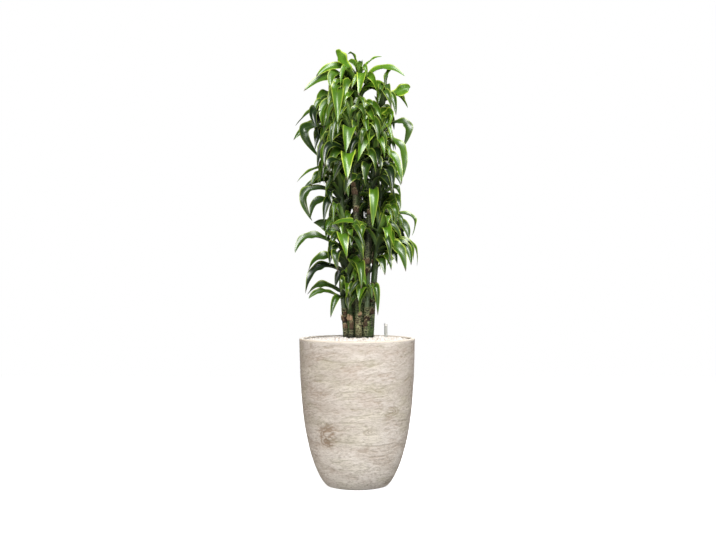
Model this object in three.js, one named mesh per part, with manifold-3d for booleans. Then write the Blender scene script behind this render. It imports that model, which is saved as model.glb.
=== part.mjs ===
// A potted dracaena: fourteen ringed canes of stepped heights, each topped by a crown of arching,
// lime-edged leaves, stand in a tall rounded stone-look planter that is filled to the rim with clay
// granules. A slim water gauge stands in the granules beside the canes.
//
// Millimetres, +Z up. The origin is the centre of the planter's flat base, and -Y is the front.

import * as THREE from "three";
import { mergeVertices } from "three/addons/utils/BufferGeometryUtils.js";
import Module from "manifold-3d";

const wasm = await Module();
wasm.setup();

// ---------------------------------------------------------------- driving dimensions
const POT_HEIGHT = 509;
const RIM_RADIUS = 200;
const BASE_RADIUS = 100;
const POT_WALL = 14;
const POT_FLOOR = 18;
const RIM_ROUND = 5; // radius of the rim's rounded edges
const POT_SIDES = 40;

const SOIL_EDGE = 499; // height of the granules at the wall
const SOIL_CROWN = 511; // and in the middle, where they are heaped round the canes
const SOIL_LUMP = 4; // how far the single granules stand up and down from that
const SOIL_RINGS = 9;
const SOIL_SECTORS = 32;

const CANE_ROOT = 350; // the canes' lower ends, buried in the granules
const CANE_SIDES = 7;
const CANE_RADIUS_FOOT = 11.3;
const CANE_RADIUS_HEAD = 8.6;
const SCAR_PITCH = 24; // from one leaf-scar ring to the next
const SCAR_STEP = 0.7; // how far a ring stands out
const SCARRED_LENGTH = 105; // the rings stand out along the bare foot of each cane
const LEAN_POWER = 1.3; // canes rise straight and then lean out

const BUD_LENGTH = 46; // the rolled young leaves at a crown's tip
const BLADE_THICKNESS = 1.8; // at the midrib, thinning to the edges
const BLADE_STATIONS = [0, 0.24, 0.5, 0.77]; // where the blade's sections lie along its centre line
const TOUCH_GAP = 0.3; // between pieces that rest on each other
const LEAF_CLEARANCE = 1.2; // a blade is kept this far from the other canes and crowns
const GOLDEN_ANGLE = 137.508;

const GAUGE_X = 101;
const GAUGE_Y = 70;
const GAUGE_TOP = 556;
const GAUGE_FOOT = 100; // the float chamber's lower end, as low as the round bowl lets it go
const GAUGE_RADIUS = 5.6;
const GAUGE_WALL = 1.2;
const CHAMBER_RADIUS = 13;
const CHAMBER_HEIGHT = 74;
const CHAMBER_LIP = 3; // the inward lip that keeps the float in
const FLOAT_RADIUS = 9.5;
const FLOAT_HEIGHT = 44;
const FLOAT_ROD_RADIUS = 1.5;
const GAUGE_CAP_HEIGHT = 9;
const GAUGE_SIDES = 12;

// ---------------------------------------------------------------- the canes and their crowns
// foot: where the cane leaves the granules, as radius and bearing round FOOT_CENTRE_X.
// head: the stem's top, x y z. leafy: the length of stem that carries leaves. leaves: how many grow by
// rule, from number youngest on, and size: how large they are.
const FOOT_CENTRE_X = 5;
const CROWNS = {
  A: { foot: [18.2, 225], head: [8, 0, 1425], leafy: 190, leaves: 18, youngest: 3 },
  B: { foot: [18.2, 45], head: [95, -8, 1372], leafy: 165, leaves: 16, youngest: 2 },
  C: { foot: [44, 162], head: [-75, 45, 1372], leafy: 165, leaves: 16 },
  D: { foot: [18.2, 315], head: [68, -45, 1232], leafy: 215, leaves: 17 },
  E: { foot: [44, 270], head: [-16, -60, 1272], leafy: 185, leaves: 17 },
  K: { foot: [44, 90], head: [8, 64, 1255], leafy: 180, leaves: 17 },
  F: { foot: [18.2, 135], head: [-72, -10, 1115], leafy: 175, leaves: 16 },
  G: { foot: [44, 18], head: [84, 42, 1020], leafy: 175, leaves: 15 },
  L: { foot: [44, 126], head: [-42, 68, 1030], leafy: 175, leaves: 16 },
  H: { foot: [44, 234], head: [-42, -44, 895], leafy: 180, leaves: 16 },
  I: { foot: [44, 342], head: [76, -28, 885], leafy: 170, leaves: 15 },
  N: { foot: [44, 54], head: [42, 68, 850], leafy: 165, leaves: 14 },
  J: { foot: [44, 198], head: [-54, -22, 695], leafy: 70, leaves: 8, size: 0.8 },
  M: { foot: [44, 306], head: [36, -54, 690], leafy: 60, leaves: 7, size: 0.72 },
};

// Leaves that show in the plant's outline or in front, placed as on the real plant. Each has its crown,
// the height of its root, its tip x y z, the height of its crest, how far its bow swings out
// (1 = above the tip, more = past it), its width and its twist in degrees.
const PLACED_LEAVES = [
  // top crown
  ["A", 1388, [-71, -45, 1497], 1498, 0.6, 42, -50],
  ["A", 1420, [-34, 18, 1494], 1500, 0.2, 24, 20],
  ["A", 1400, [-142, -30, 1410], 1462, 0.62, 34, -45],
  ["A", 1372, [-184, -20, 1362], 1436, 0.6, 36, -50],
  ["A", 1350, [-160, 20, 1352], 1402, 0.62, 34, -45],
  ["A", 1418, [86, 10, 1484], 1485, 0.45, 22, 15],
  ["A", 1395, [166, -12, 1414], 1456, 0.55, 32, 42],
  ["A", 1396, [4, -112, 1318], 1424, 0.8, 36, 0],
  ["A", 1385, [-22, -128, 1322], 1425, 0.75, 36, 8],
  ["A", 1400, [62, -98, 1330], 1440, 0.8, 34, 20],
  // upper right crown
  ["B", 1366, [108, -6, 1440], 1441, 0.3, 22, 40],
  ["B", 1352, [184, -18, 1392], 1393, 0.5, 36, 62],
  ["B", 1345, [178, -10, 1298], 1368, 0.78, 30, 42],
  ["B", 1322, [133, -52, 1272], 1350, 0.9, 28, 35],
  ["B", 1248, [158, -30, 1168], 1282, 1.22, 36, 42],
  ["B", 1290, [196, 14, 1236], 1312, 0.8, 32, 45],
  // upper left crown
  ["C", 1362, [-144, 5, 1318], 1378, 0.95, 36, -50],
  ["C", 1320, [-214, -6, 1244], 1326, 0.62, 28, -36],
  ["C", 1262, [-222, -4, 1196], 1256, 0.62, 30, -48],
  ["C", 1275, [-104, -40, 1130], 1285, 3.2, 34, -42],
  ["C", 1348, [-78, -80, 1236], 1378, 0.95, 40, 0],
  // middle right crown in front
  ["D", 1195, [157, -50, 1064], 1200, 1.12, 34, 42],
  ["D", 1150, [146, -70, 1046], 1168, 1.05, 30, 40],
  ["D", 1195, [0, -138, 1074], 1222, 0.82, 38, 10],
  ["D", 1022, [40, -118, 884], 1036, 0.8, 32, 0],
  ["D", 1215, [36, -150, 1136], 1246, 0.8, 40, 0],
  // middle crown in front
  ["E", 1205, [-30, -150, 1122], 1236, 0.85, 46, -8],
  ["E", 1105, [-32, -165, 1038], 1140, 0.85, 42, 6],
  // middle left crown
  ["F", 1098, [-206, -20, 1044], 1105, 0.62, 26, -18],
  ["F", 1045, [-142, -40, 916], 1056, 1.75, 36, -46],
  ["F", 1008, [-160, -54, 928], 1026, 1.1, 34, -48],
  ["F", 985, [-112, -92, 905], 996, 1.0, 30, -40],
  // middle right crown behind
  ["G", 1012, [152, 8, 990], 1038, 0.85, 30, 42],
  ["G", 945, [188, 10, 866], 962, 1.08, 26, 32],
  ["G", 925, [172, -14, 850], 940, 1.02, 40, 52],
  // lower left crown in front
  ["H", 838, [-142, -60, 922], 923, 0.5, 36, -60],
  ["H", 820, [-209, -60, 802], 876, 0.75, 28, -34],
  ["H", 768, [-170, -72, 738], 802, 0.72, 38, -52],
  ["H", 738, [-172, -88, 664], 762, 0.85, 36, -46],
  ["H", 848, [-46, -160, 772], 874, 0.85, 44, 5],
  ["H", 846, [14, -162, 760], 872, 0.85, 44, -5],
  ["H", 776, [28, -140, 698], 800, 0.9, 38, 10],
  // lower right crown
  ["I", 868, [58, -140, 800], 905, 0.85, 36, 10],
  ["I", 838, [212, -20, 754], 850, 0.98, 28, 35],
  ["I", 842, [180, -55, 774], 852, 0.9, 30, 44],
  ["I", 812, [159, -92, 738], 838, 0.9, 36, 46],
  ["I", 775, [115, -110, 742], 800, 0.9, 32, 38],
  ["I", 760, [98, -120, 722], 784, 0.9, 30, 26],
  // low sprouts
  ["J", 672, [-170, -40, 660], 706, 0.7, 30, -42],
  ["J", 652, [-165, -66, 646], 680, 0.7, 24, -30],
  ["J", 646, [-90, -70, 582], 658, 1.0, 26, -36],
  ["M", 668, [80, -70, 652], 708, 0.9, 20, 24],
  ["M", 642, [74, -96, 592], 660, 0.9, 32, 30],
  ["M", 652, [0, -110, 572], 672, 0.9, 28, 0],
];

// ---------------------------------------------------------------- small helpers
const RADIANS = Math.PI / 180;
const mix = (a, b, t) => a + (b - a) * t;

// A repeatable number from 0 to 1 for each pair of whole numbers.
function draw(n, k) {
  const wave = Math.sin(n * 12.9898 + k * 78.233) * 43758.5453;
  return wave - Math.floor(wave);
}

function geometryOf(positions, triangles) {
  const geometry = new THREE.BufferGeometry();
  geometry.setAttribute("position", new THREE.Float32BufferAttribute(positions, 3));
  geometry.setIndex(triangles);
  return geometry;
}

function solidFrom(geometry) {
  const bare = geometry.clone();
  bare.deleteAttribute("normal");
  bare.deleteAttribute("uv");
  const merged = mergeVertices(bare, 1e-4);
  const vertProperties = new Float32Array(merged.attributes.position.array);
  const triVerts = new Uint32Array(merged.index.array);
  return new wasm.Manifold(new wasm.Mesh({ numProp: 3, vertProperties, triVerts }));
}

function geometryFrom(solid) {
  const mesh = solid.getMesh();
  return geometryOf(Array.from(mesh.vertProperties), Array.from(mesh.triVerts));
}

// Only the outer skin of a fused solid: joined blades can seal small hollows between them at the stem,
// which are skins of their own, and those are left out, so that the hollows are filled.
function outerSkin(solid) {
  const { vertProperties, triVerts } = solid.getMesh();
  const leader = Array.from({ length: vertProperties.length / 3 }, (_, i) => i);
  const find = (i) => {
    while (leader[i] !== i) i = leader[i] = leader[leader[i]];
    return i;
  };
  for (let i = 0; i < triVerts.length; i += 3) {
    leader[find(triVerts[i + 1])] = find(triVerts[i]);
    leader[find(triVerts[i + 2])] = find(triVerts[i]);
  }
  const skins = new Map();
  for (let i = 0; i < triVerts.length; i += 3) {
    const key = find(triVerts[i]);
    if (!skins.has(key)) skins.set(key, []);
    skins.get(key).push(triVerts[i], triVerts[i + 1], triVerts[i + 2]);
  }
  const largest = [...skins.values()].sort((one, two) => two.length - one.length)[0];
  return geometryOf(Array.from(vertProperties), largest);
}

// Whether every edge has exactly two faces once points closer than a thousandth are taken as one.
function isClosed(geometry) {
  const corners = mergeVertices(geometry, 1e-3).index.array;
  const uses = new Map();
  for (let i = 0; i < corners.length; i += 3) {
    const face = [corners[i], corners[i + 1], corners[i + 2]];
    if (new Set(face).size < 3) continue;
    for (let k = 0; k < 3; k++) {
      const edge = [face[k], face[(k + 1) % 3]].sort((one, two) => one - two).join();
      uses.set(edge, (uses.get(edge) ?? 0) + 1);
    }
  }
  return [...uses.values()].every((count) => count === 2);
}

// Joins closed rings of points, each with the same number of points, into a closed solid.
// A ring runs anticlockwise when seen from the side that the stack grows towards.
function stackRings(rings) {
  const count = rings[0].length;
  const points = rings.flat();
  const triangles = [];
  for (let row = 0; row + 1 < rings.length; row++)
    for (let i = 0; i < count; i++) {
      const a = row * count + i;
      const b = row * count + ((i + 1) % count);
      triangles.push(a, b, b + count, a, b + count, a + count);
    }
  const top = (rings.length - 1) * count;
  for (let i = 1; i + 1 < count; i++) {
    triangles.push(0, i + 1, i);
    triangles.push(top, top + i, top + i + 1);
  }
  return geometryOf(points.flat(), triangles);
}

// A solid of revolution from an outline of [radius, height] points, which runs upwards on its outside
// and starts and ends on the axis.
function turned(outline, sides) {
  return new THREE.LatheGeometry(
    outline.map(([r, z]) => new THREE.Vector2(r, z)),
    sides,
  ).rotateX(Math.PI / 2);
}

// ---------------------------------------------------------------- planter
// The wall swells quickly from the base and then rises almost straight: nine tenths of the swell
// follow 1 - (1 - s)^3 to the power 0.68, and one tenth is a steady taper.
function potRadius(z) {
  const s = Math.min(1, Math.max(0, z / POT_HEIGHT));
  const swell = 0.9 * (1 - (1 - s) ** 3) ** 0.68 + 0.1 * s;
  return BASE_RADIUS + (RIM_RADIUS - BASE_RADIUS) * swell;
}

const innerRadius = (z) => potRadius(z) - POT_WALL;

function planter() {
  const outside = [0, 0.015, 0.06, 0.14, 0.26, 0.44, 0.7].map((s) => {
    return [potRadius(s * POT_HEIGHT), s * POT_HEIGHT];
  });
  const inside = [0.6, 0.3, 0.13].map((s) => {
    return [innerRadius(s * POT_HEIGHT), s * POT_HEIGHT];
  });
  const rim = [
    [RIM_RADIUS, POT_HEIGHT - RIM_ROUND],
    [RIM_RADIUS - RIM_ROUND, POT_HEIGHT],
    [RIM_RADIUS - POT_WALL + RIM_ROUND, POT_HEIGHT],
    [RIM_RADIUS - POT_WALL, POT_HEIGHT - RIM_ROUND],
  ];
  const floor = [
    [innerRadius(POT_FLOOR) - 4, POT_FLOOR],
    [0, POT_FLOOR],
  ];
  return turned([[0, 0], ...outside, ...rim, ...inside, ...floor], POT_SIDES);
}

// ---------------------------------------------------------------- canes
const footOf = ({ foot: [radius, bearing] }) => [
  FOOT_CENTRE_X + radius * Math.cos(bearing * RADIANS),
  radius * Math.sin(bearing * RADIANS),
];

// The stem's centre line: plumb in the granules, then leaning out to the crown.
function stemCentre(crown, z) {
  const [x0, y0] = footOf(crown);
  const [x1, y1, top] = crown.head;
  const share = Math.max(0, (z - SOIL_CROWN) / (top - SOIL_CROWN));
  const lean = share ** LEAN_POWER;
  return [mix(x0, x1, lean), mix(y0, y1, lean)];
}

function caneRadius(crown, z) {
  const share = Math.max(0, (z - SOIL_CROWN) / (crown.head[2] - SOIL_CROWN));
  return mix(CANE_RADIUS_FOOT, CANE_RADIUS_HEAD, Math.min(1, share));
}

// A level ring of points round the stem, turned by `spin` of a side.
function stemRing(crown, z, radius, sides = CANE_SIDES, spin = 0.5) {
  const [x, y] = stemCentre(crown, z);
  return Array.from({ length: sides }, (_, i) => {
    const angle = ((i + spin) / sides) * 2 * Math.PI;
    return [x + radius * Math.cos(angle), y + radius * Math.sin(angle), z];
  });
}

const leafyFrom = (crown) => crown.head[2] - crown.leafy - 12;

// The bare cane from its buried end to the lowest leaf, with leaf-scar rings along its foot.
function cane(crown) {
  const end = leafyFrom(crown) - TOUCH_GAP;
  const rings = [stemRing(crown, CANE_ROOT, CANE_RADIUS_FOOT)];
  const scarred = Math.min(end - SCAR_PITCH, SOIL_CROWN + SCARRED_LENGTH);
  let z = SOIL_CROWN + 8;
  for (; z < scarred; z += SCAR_PITCH) {
    const radius = caneRadius(crown, z);
    rings.push(stemRing(crown, z, radius));
    rings.push(stemRing(crown, z + 0.25 * SCAR_PITCH, radius + SCAR_STEP));
  }
  const plain = Math.max(1, Math.round((end - z) / 220));
  for (let i = 0; i <= plain; i++) {
    const level = mix(z, end, i / plain);
    rings.push(stemRing(crown, level, caneRadius(crown, level)));
  }
  return stackRings(rings);
}

// ---------------------------------------------------------------- leaves
// The centre line is a parabola in the upright plane through root and tip: it climbs to its crest and
// falls to the tip. The control point's height follows from the crest.
function leafLine(leaf) {
  const [x0, y0, z0] = leaf.root;
  const [x1, y1, z1] = leaf.tip;
  const reach = Math.hypot(x1 - x0, y1 - y0);
  const out = [(x1 - x0) / reach, (y1 - y0) / reach];
  const fall = z1 - z0;
  const rise = Math.max(leaf.crest - z0, fall + 1, 4);
  const climb = rise + Math.sqrt(rise * rise - rise * fall);
  const bow = leaf.bow * reach;
  const at = (t) => {
    const r = 2 * t * (1 - t) * bow + t * t * reach;
    const z = 2 * t * (1 - t) * climb + t * t * fall;
    return new THREE.Vector3(x0 + out[0] * r, y0 + out[1] * r, z0 + z);
  };
  const along = (t) => {
    const r = (1 - 2 * t) * bow + t * reach;
    const z = (1 - 2 * t) * climb + t * fall;
    return new THREE.Vector3(out[0] * r, out[1] * r, z).normalize();
  };
  return { at, along, side: new THREE.Vector3(-out[1], out[0], 0) };
}

// How wide the blade is at t, as a share of its widest: a clasping foot, a lance shape and a fine tip.
const bladeShape = (t) => 0.25 * (1 - t) ** 4 + Math.sin(Math.PI * t ** 0.75) ** 0.8;

// How far the blade has turned about its own centre line at t: most of the twist is near its foot.
const bladeTurn = (leaf, t) => leaf.twist * RADIANS * (1 - (1 - t) ** 3);

// A blade from station `from` to its tip, `more` thicker all round. Its section is a flat triangle: the
// two edges, and the midrib's keel below them. The faces between two sections are split along the
// diagonals that bulge outwards on a blade turned this way, so that its walls never cross.
function blade(leaf, from = 0, more = 0) {
  const { at, along, side } = leafLine(leaf);
  const stations = BLADE_STATIONS.filter((t) => t >= from);
  const points = [];
  for (const t of stations) {
    const centre = at(t);
    const ahead = along(t);
    const across = side.clone().applyAxisAngle(ahead, bladeTurn(leaf, t));
    const up = new THREE.Vector3().crossVectors(ahead, across);
    const half = (leaf.width / 2) * bladeShape(t) + more;
    const level = centre.addScaledVector(up, more);
    points.push(
      level.clone().addScaledVector(across, -half),
      level.clone().addScaledVector(up, -BLADE_THICKNESS - 2 * more),
      level.clone().addScaledVector(across, half),
    );
  }
  points.push(at(1).addScaledVector(along(1), more));
  const last = stations.length - 1;
  const rightHanded = leaf.twist > 0;
  const triangles = [0, 2, 1];
  for (let row = 0; row <= last; row++)
    for (let i = 0; i < 3; i++) {
      const a = row * 3 + i;
      const b = row * 3 + ((i + 1) % 3);
      if (row === last) triangles.push(a, b, points.length - 1);
      else if (rightHanded) triangles.push(a, b, a + 3, b, b + 3, a + 3);
      else triangles.push(a, b, b + 3, a, b + 3, a + 3);
    }
  return solidFrom(geometryOf(points.flatMap((p) => p.toArray()), triangles));
}

// Leaf number k of a crown by rule: the golden angle round the stem, old leaves low, long and drooping,
// young ones high, short and upright. The blades turn their faces to the light, which is in front.
function leafByRule(crown, seed, k) {
  const { size = 1 } = crown;
  const age = (k + 0.6) / crown.leaves;
  const vary = (slot, spread) => (draw(seed + k, slot) - 0.5) * 2 * spread;
  const rootZ = crown.head[2] - crown.leafy * age;
  const [x, y] = stemCentre(crown, rootZ);
  const bearing = (seed * 61 + k * GOLDEN_ANGLE + vary(1, 14)) * RADIANS;
  const reach = size * (mix(46, 122, Math.sqrt(age)) + vary(2, 14));
  const fall = size * (mix(56, -88, age ** 0.8) + vary(3, 22));
  const rise = Math.max(size * mix(80, 32, age), fall + 6) + vary(4, 8);
  return {
    root: [x, y, rootZ],
    tip: [x + reach * Math.cos(bearing), y + reach * Math.sin(bearing), rootZ + fall],
    crest: rootZ + rise,
    bow: mix(0.45, 0.92, age) + vary(5, 0.1),
    width: size * (mix(19, 41, Math.sqrt(age)) + vary(6, 4)),
    twist: 46 * Math.cos(bearing) + vary(7, 24),
  };
}

function leafAsPlaced([name, rootZ, tip, crest, bow, width, twist]) {
  const [x, y] = stemCentre(CROWNS[name], rootZ);
  return { root: [x, y, rootZ], tip, crest, bow, width, twist };
}

// The ways a leaf may be bent clear of its neighbours: swung round its stem and raised or lowered.
const SWINGS = [0, 7, -7, 14, -14, 21, -21, 30, -30, 40, -40, 52, -52];
const LIFTS = [0, 12, -12, 26, -26, 42];
const SHORTER = [1, 0.85, 0.7];

function bentLeaf(leaf, swing, lift, share) {
  const [x0, y0, z0] = leaf.root;
  const [x1, y1, z1] = leaf.tip;
  const c = Math.cos(swing * RADIANS) * share;
  const s = Math.sin(swing * RADIANS) * share;
  const dx = x1 - x0;
  const dy = y1 - y0;
  return {
    ...leaf,
    tip: [x0 + c * dx - s * dy, y0 + s * dx + c * dy, z0 + (z1 - z0) * share + lift],
    crest: z0 + (leaf.crest - z0) * share + Math.max(0, lift),
    width: leaf.width * (0.4 + 0.6 * share),
  };
}

// ---------------------------------------------------------------- crowns
// The green top of a stem, wrapped in leaf bases, that ends in the rolled bud.
function leafyStem(crown, spin, more = 0) {
  const start = leafyFrom(crown);
  const top = crown.head[2];
  const rings = [
    [start, 9.6],
    [top - 6, 9.2],
    [top + 0.45 * BUD_LENGTH, 5],
    [top + BUD_LENGTH, 0.8],
  ];
  return solidFrom(stackRings(rings.map(([z, radius]) => stemRing(crown, z, radius + more, 6, spin))));
}

const boxesMeet = (a, b) =>
  a.min.every((low, i) => low <= b.max[i]) && b.min.every((low, i) => low <= a.max[i]);

const meets = (a, b) => boxesMeet(a.box, b.box) && !a.solid.intersect(b.solid).isEmpty();

const boxed = (solid) => ({ solid, box: solid.boundingBox() });

function growCrowns() {
  const names = Object.keys(CROWNS);
  const canes = {};
  const stems = {};
  for (const name of names) {
    canes[name] = boxed(solidFrom(cane(CROWNS[name])));
    stems[name] = boxed(leafyStem(CROWNS[name], 0.5, 1.4));
  }
  const grown = Object.fromEntries(names.map((name) => [name, []]));

  // Grows one leaf where it keeps clear of every other cane and crown, and of its own crown's leaves. A
  // leaf that has no such place is left out.
  function grow(name, leaf, swings, lifts, shares) {
    for (const share of shares)
      for (const lift of lifts)
        for (const swing of swings) {
          const bent = bentLeaf(leaf, swing, lift, share);
          const probe = boxed(blade(bent, 0, LEAF_CLEARANCE));
          const blocked = names.some((other) => {
            if (other === name) return false;
            if (meets(probe, canes[other]) || meets(probe, stems[other])) return true;
            return grown[other].some((grownLeaf) => meets(probe, grownLeaf.whole));
          });
          if (blocked || meets(probe, canes[name])) continue;
          const free = boxed(blade(bent, BLADE_STATIONS[1]));
          if (grown[name].some((grownLeaf) => meets(free, grownLeaf.free))) continue;
          grown[name].push({ whole: boxed(blade(bent)), free });
          return;
        }
  }

  for (const row of PLACED_LEAVES)
    grow(row[0], leafAsPlaced(row), SWINGS.slice(0, 7), LIFTS.slice(0, 3), [1]);
  names.forEach((name, index) => {
    const crown = CROWNS[name];
    for (let k = crown.youngest ?? 0; k < crown.leaves; k++)
      grow(name, leafByRule(crown, 1 + index * 50, k), SWINGS, LIFTS, SHORTER);
  });

  return Object.fromEntries(names.map((name) => [name, fuseCrown(CROWNS[name], grown[name])]));
}

// Joins the blades to their stem. The stem is turned a little where its sides graze a blade so closely
// that the joined skin would touch itself.
function fuseCrown(crown, leaves) {
  for (const spin of [0.5, 0.3, 0.7, 0.1, 0.9]) {
    const solid = leaves.reduce((sum, leaf) => sum.add(leaf.whole.solid), leafyStem(crown, spin));
    const skin = outerSkin(solid);
    if (isClosed(skin)) return skin;
  }
  throw new Error("a crown's skin touches itself at every turn of its stem");
}

// ---------------------------------------------------------------- water gauge
// Outlines are [radius, height] round the gauge's own axis.
function gaugeTube() {
  const inner = GAUGE_RADIUS - GAUGE_WALL;
  const chamberInner = CHAMBER_RADIUS - GAUGE_WALL;
  const shoulder = GAUGE_FOOT + CHAMBER_HEIGHT;
  return turned(
    [
      [chamberInner - CHAMBER_LIP, GAUGE_FOOT],
      [CHAMBER_RADIUS, GAUGE_FOOT],
      [CHAMBER_RADIUS, shoulder],
      [GAUGE_RADIUS, shoulder + 8],
      [GAUGE_RADIUS, GAUGE_TOP - GAUGE_CAP_HEIGHT],
      [inner, GAUGE_TOP - GAUGE_CAP_HEIGHT],
      [inner, shoulder + 6],
      [chamberInner, shoulder - 2],
      [chamberInner, GAUGE_FOOT + 2],
      [chamberInner - CHAMBER_LIP, GAUGE_FOOT + 2],
      [chamberInner - CHAMBER_LIP, GAUGE_FOOT],
    ],
    GAUGE_SIDES,
  );
}

function gaugeFloat() {
  const low = GAUGE_FOOT + 2 + TOUCH_GAP;
  return turned(
    [
      [0, low],
      [FLOAT_RADIUS, low],
      [FLOAT_RADIUS, low + FLOAT_HEIGHT],
      [FLOAT_ROD_RADIUS, low + FLOAT_HEIGHT + 4],
      [FLOAT_ROD_RADIUS, GAUGE_TOP - 22],
      [0, GAUGE_TOP - 22],
    ],
    GAUGE_SIDES,
  );
}

function gaugeCap() {
  const low = GAUGE_TOP - GAUGE_CAP_HEIGHT + TOUCH_GAP;
  return turned(
    [
      [0, low],
      [GAUGE_RADIUS + 0.6, low],
      [GAUGE_RADIUS + 0.6, GAUGE_TOP - 2],
      [GAUGE_RADIUS - 1, GAUGE_TOP],
      [0, GAUGE_TOP],
    ],
    GAUGE_SIDES,
  );
}

const atGauge = (geometry) => geometry.translate(GAUGE_X, GAUGE_Y, 0);

// ---------------------------------------------------------------- granules
// The heap's height: a low dome, with lumps from two crossed waves that a third breaks up.
function soilHeight(x, y) {
  const share = Math.min(1, Math.hypot(x, y) / (RIM_RADIUS - POT_WALL));
  const dome = mix(SOIL_CROWN, SOIL_EDGE, share * share);
  const across = Math.sin(0.31 * x + 1.7 * Math.sin(0.11 * y));
  const along = Math.sin(0.29 * y + 1.3 * Math.cos(0.13 * x));
  return dome + SOIL_LUMP * across * along;
}

// The fill follows the planter's inside, and its top is a net of rings and sectors on the lumpy heap.
function granuleFill() {
  const ring = (radius, z) =>
    Array.from({ length: SOIL_SECTORS }, (_, i) => {
      const angle = (i / SOIL_SECTORS) * 2 * Math.PI;
      const x = radius * Math.cos(angle);
      const y = radius * Math.sin(angle);
      return [x, y, z === undefined ? soilHeight(x, y) : z];
    });
  const sides = [0.13, 0.3, 0.6].map((s) => s * POT_HEIGHT);
  const gap = TOUCH_GAP + 1.5; // the planter's flat facets cut inside its true round
  const rings = [ring(innerRadius(POT_FLOOR) - 8, POT_FLOOR + TOUCH_GAP)];
  for (const z of sides) rings.push(ring(innerRadius(z) - gap, z));
  const brim = innerRadius(SOIL_EDGE) - gap;
  for (let i = SOIL_RINGS; i >= 1; i--) rings.push(ring((brim * i) / SOIL_RINGS));
  return solidFrom(stackRings(rings));
}

// Plain holes for the canes and for the gauge, with a little room all round.
function soilHoles() {
  const room = 0.5;
  const holes = Object.values(CROWNS).map((crown) =>
    solidFrom(
      stackRings([
        stemRing(crown, CANE_ROOT - TOUCH_GAP, CANE_RADIUS_FOOT + room),
        stemRing(crown, SOIL_CROWN + SOIL_LUMP + 2, CANE_RADIUS_FOOT + room),
      ]),
    ),
  );
  const shoulder = GAUGE_FOOT + CHAMBER_HEIGHT;
  const well = turned(
    [
      [0, GAUGE_FOOT - 10],
      [CHAMBER_RADIUS + room, GAUGE_FOOT - 10],
      [CHAMBER_RADIUS + room, shoulder + room],
      [GAUGE_RADIUS + room, shoulder + 8 + room],
      [GAUGE_RADIUS + room, SOIL_CROWN + 20],
      [0, SOIL_CROWN + 20],
    ],
    GAUGE_SIDES,
  );
  holes.push(solidFrom(atGauge(well)));
  return holes;
}

// ---------------------------------------------------------------- the plant in its planter
const part = new THREE.Group();

function addPiece(name, geometry, color, roughness) {
  const material = new THREE.MeshStandardMaterial({ color, roughness, metalness: 0 });
  const mesh = new THREE.Mesh(geometry, material);
  mesh.name = name;
  part.add(mesh);
}

addPiece("planter", planter(), "#cfc4b8", 0.75);
const soil = soilHoles().reduce((sum, hole) => sum.subtract(hole), granuleFill());
addPiece("granules", geometryFrom(soil), "#a8998b", 0.95);
addPiece("gauge_tube", atGauge(gaugeTube()), "#e4e6e4", 0.35);
addPiece("gauge_float", atGauge(gaugeFloat()), "#c8362c", 0.5);
addPiece("gauge_cap", atGauge(gaugeCap()), "#f2f3f1", 0.4);
const crowns = growCrowns();
for (const [name, crown] of Object.entries(CROWNS)) {
  addPiece(`cane_${name}`, cane(crown), "#6d6a44", 0.8);
  addPiece(`crown_${name}`, crowns[name], "#2f6b1f", 0.4);
}

export default part;
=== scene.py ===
# A potted dracaena: fourteen ringed canes under crowns of lime-edged leaves, standing in a tall
# stone-look planter of clay granules. Shapes are worked out in millimetres, and +Z is up.
import math

import bpy
import numpy as np
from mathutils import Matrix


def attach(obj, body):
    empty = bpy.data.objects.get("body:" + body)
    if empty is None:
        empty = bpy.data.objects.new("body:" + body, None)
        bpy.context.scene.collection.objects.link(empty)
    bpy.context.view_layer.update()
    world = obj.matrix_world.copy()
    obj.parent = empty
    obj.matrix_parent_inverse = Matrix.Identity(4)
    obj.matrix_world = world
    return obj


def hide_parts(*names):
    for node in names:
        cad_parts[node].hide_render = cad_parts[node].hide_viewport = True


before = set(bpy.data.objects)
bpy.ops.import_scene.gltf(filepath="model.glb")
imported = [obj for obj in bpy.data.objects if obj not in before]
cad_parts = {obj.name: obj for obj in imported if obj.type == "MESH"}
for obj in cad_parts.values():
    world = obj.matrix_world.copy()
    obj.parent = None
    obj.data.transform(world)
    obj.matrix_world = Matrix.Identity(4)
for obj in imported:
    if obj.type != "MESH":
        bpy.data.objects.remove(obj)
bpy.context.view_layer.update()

# ---------------------------------------------------------------- camera
# It stands four metres in front of the plant, level with the middle of it, with a short portrait lens,
# so the rim is seen almost edge-on.
SENSOR_WIDTH = 36.0
LENS_LENGTH = 58.1
FARTHEST_SEEN = 60.0
CAMERA_PLACE = (0.0031, -4.0, 0.744)

camera_data = bpy.data.cameras.new("front_camera")
camera_data.sensor_width = SENSOR_WIDTH
camera_data.lens = LENS_LENGTH
camera_data.clip_end = FARTHEST_SEEN
camera = bpy.data.objects.new("front_camera", camera_data)
camera.location = CAMERA_PLACE
camera.rotation_euler = (math.radians(90), 0.0, 0.0)
bpy.context.scene.collection.objects.link(camera)
bpy.context.scene.camera = camera


# ---------------------------------------------------------------- planter
# One cast shell of stone composite with a flat base, swelling walls and a rounded rim. Its face is
# modelled in wavy layers like weathered travertine; the rim is smooth, with a painted highlight.
POT_HEIGHT = 509.0
RIM_RADIUS = 200.0
BASE_RADIUS = 100.0
POT_WALL = 14.0
POT_FLOOR = 18.0
RIM_ROUND = 5.0
POT_SIDES = 384
POT_ROW = 2.25  # from one ring of points in the face to the next
SWELL_SHARE = 0.9
SWELL_POWER = 0.68
FACE_DEPTH = 1.5
FACE_FOOT = (3, 16)  # the heights between which the modelled face begins
FACE_TOP = (496, 501)  # and those between which it runs out below the smooth rim
FACE_ROUND = 2 * np.pi * 185  # the way round the wall at a middling height
FRONT = 0.75  # the share of the way round at which the middle of the front lies
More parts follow.
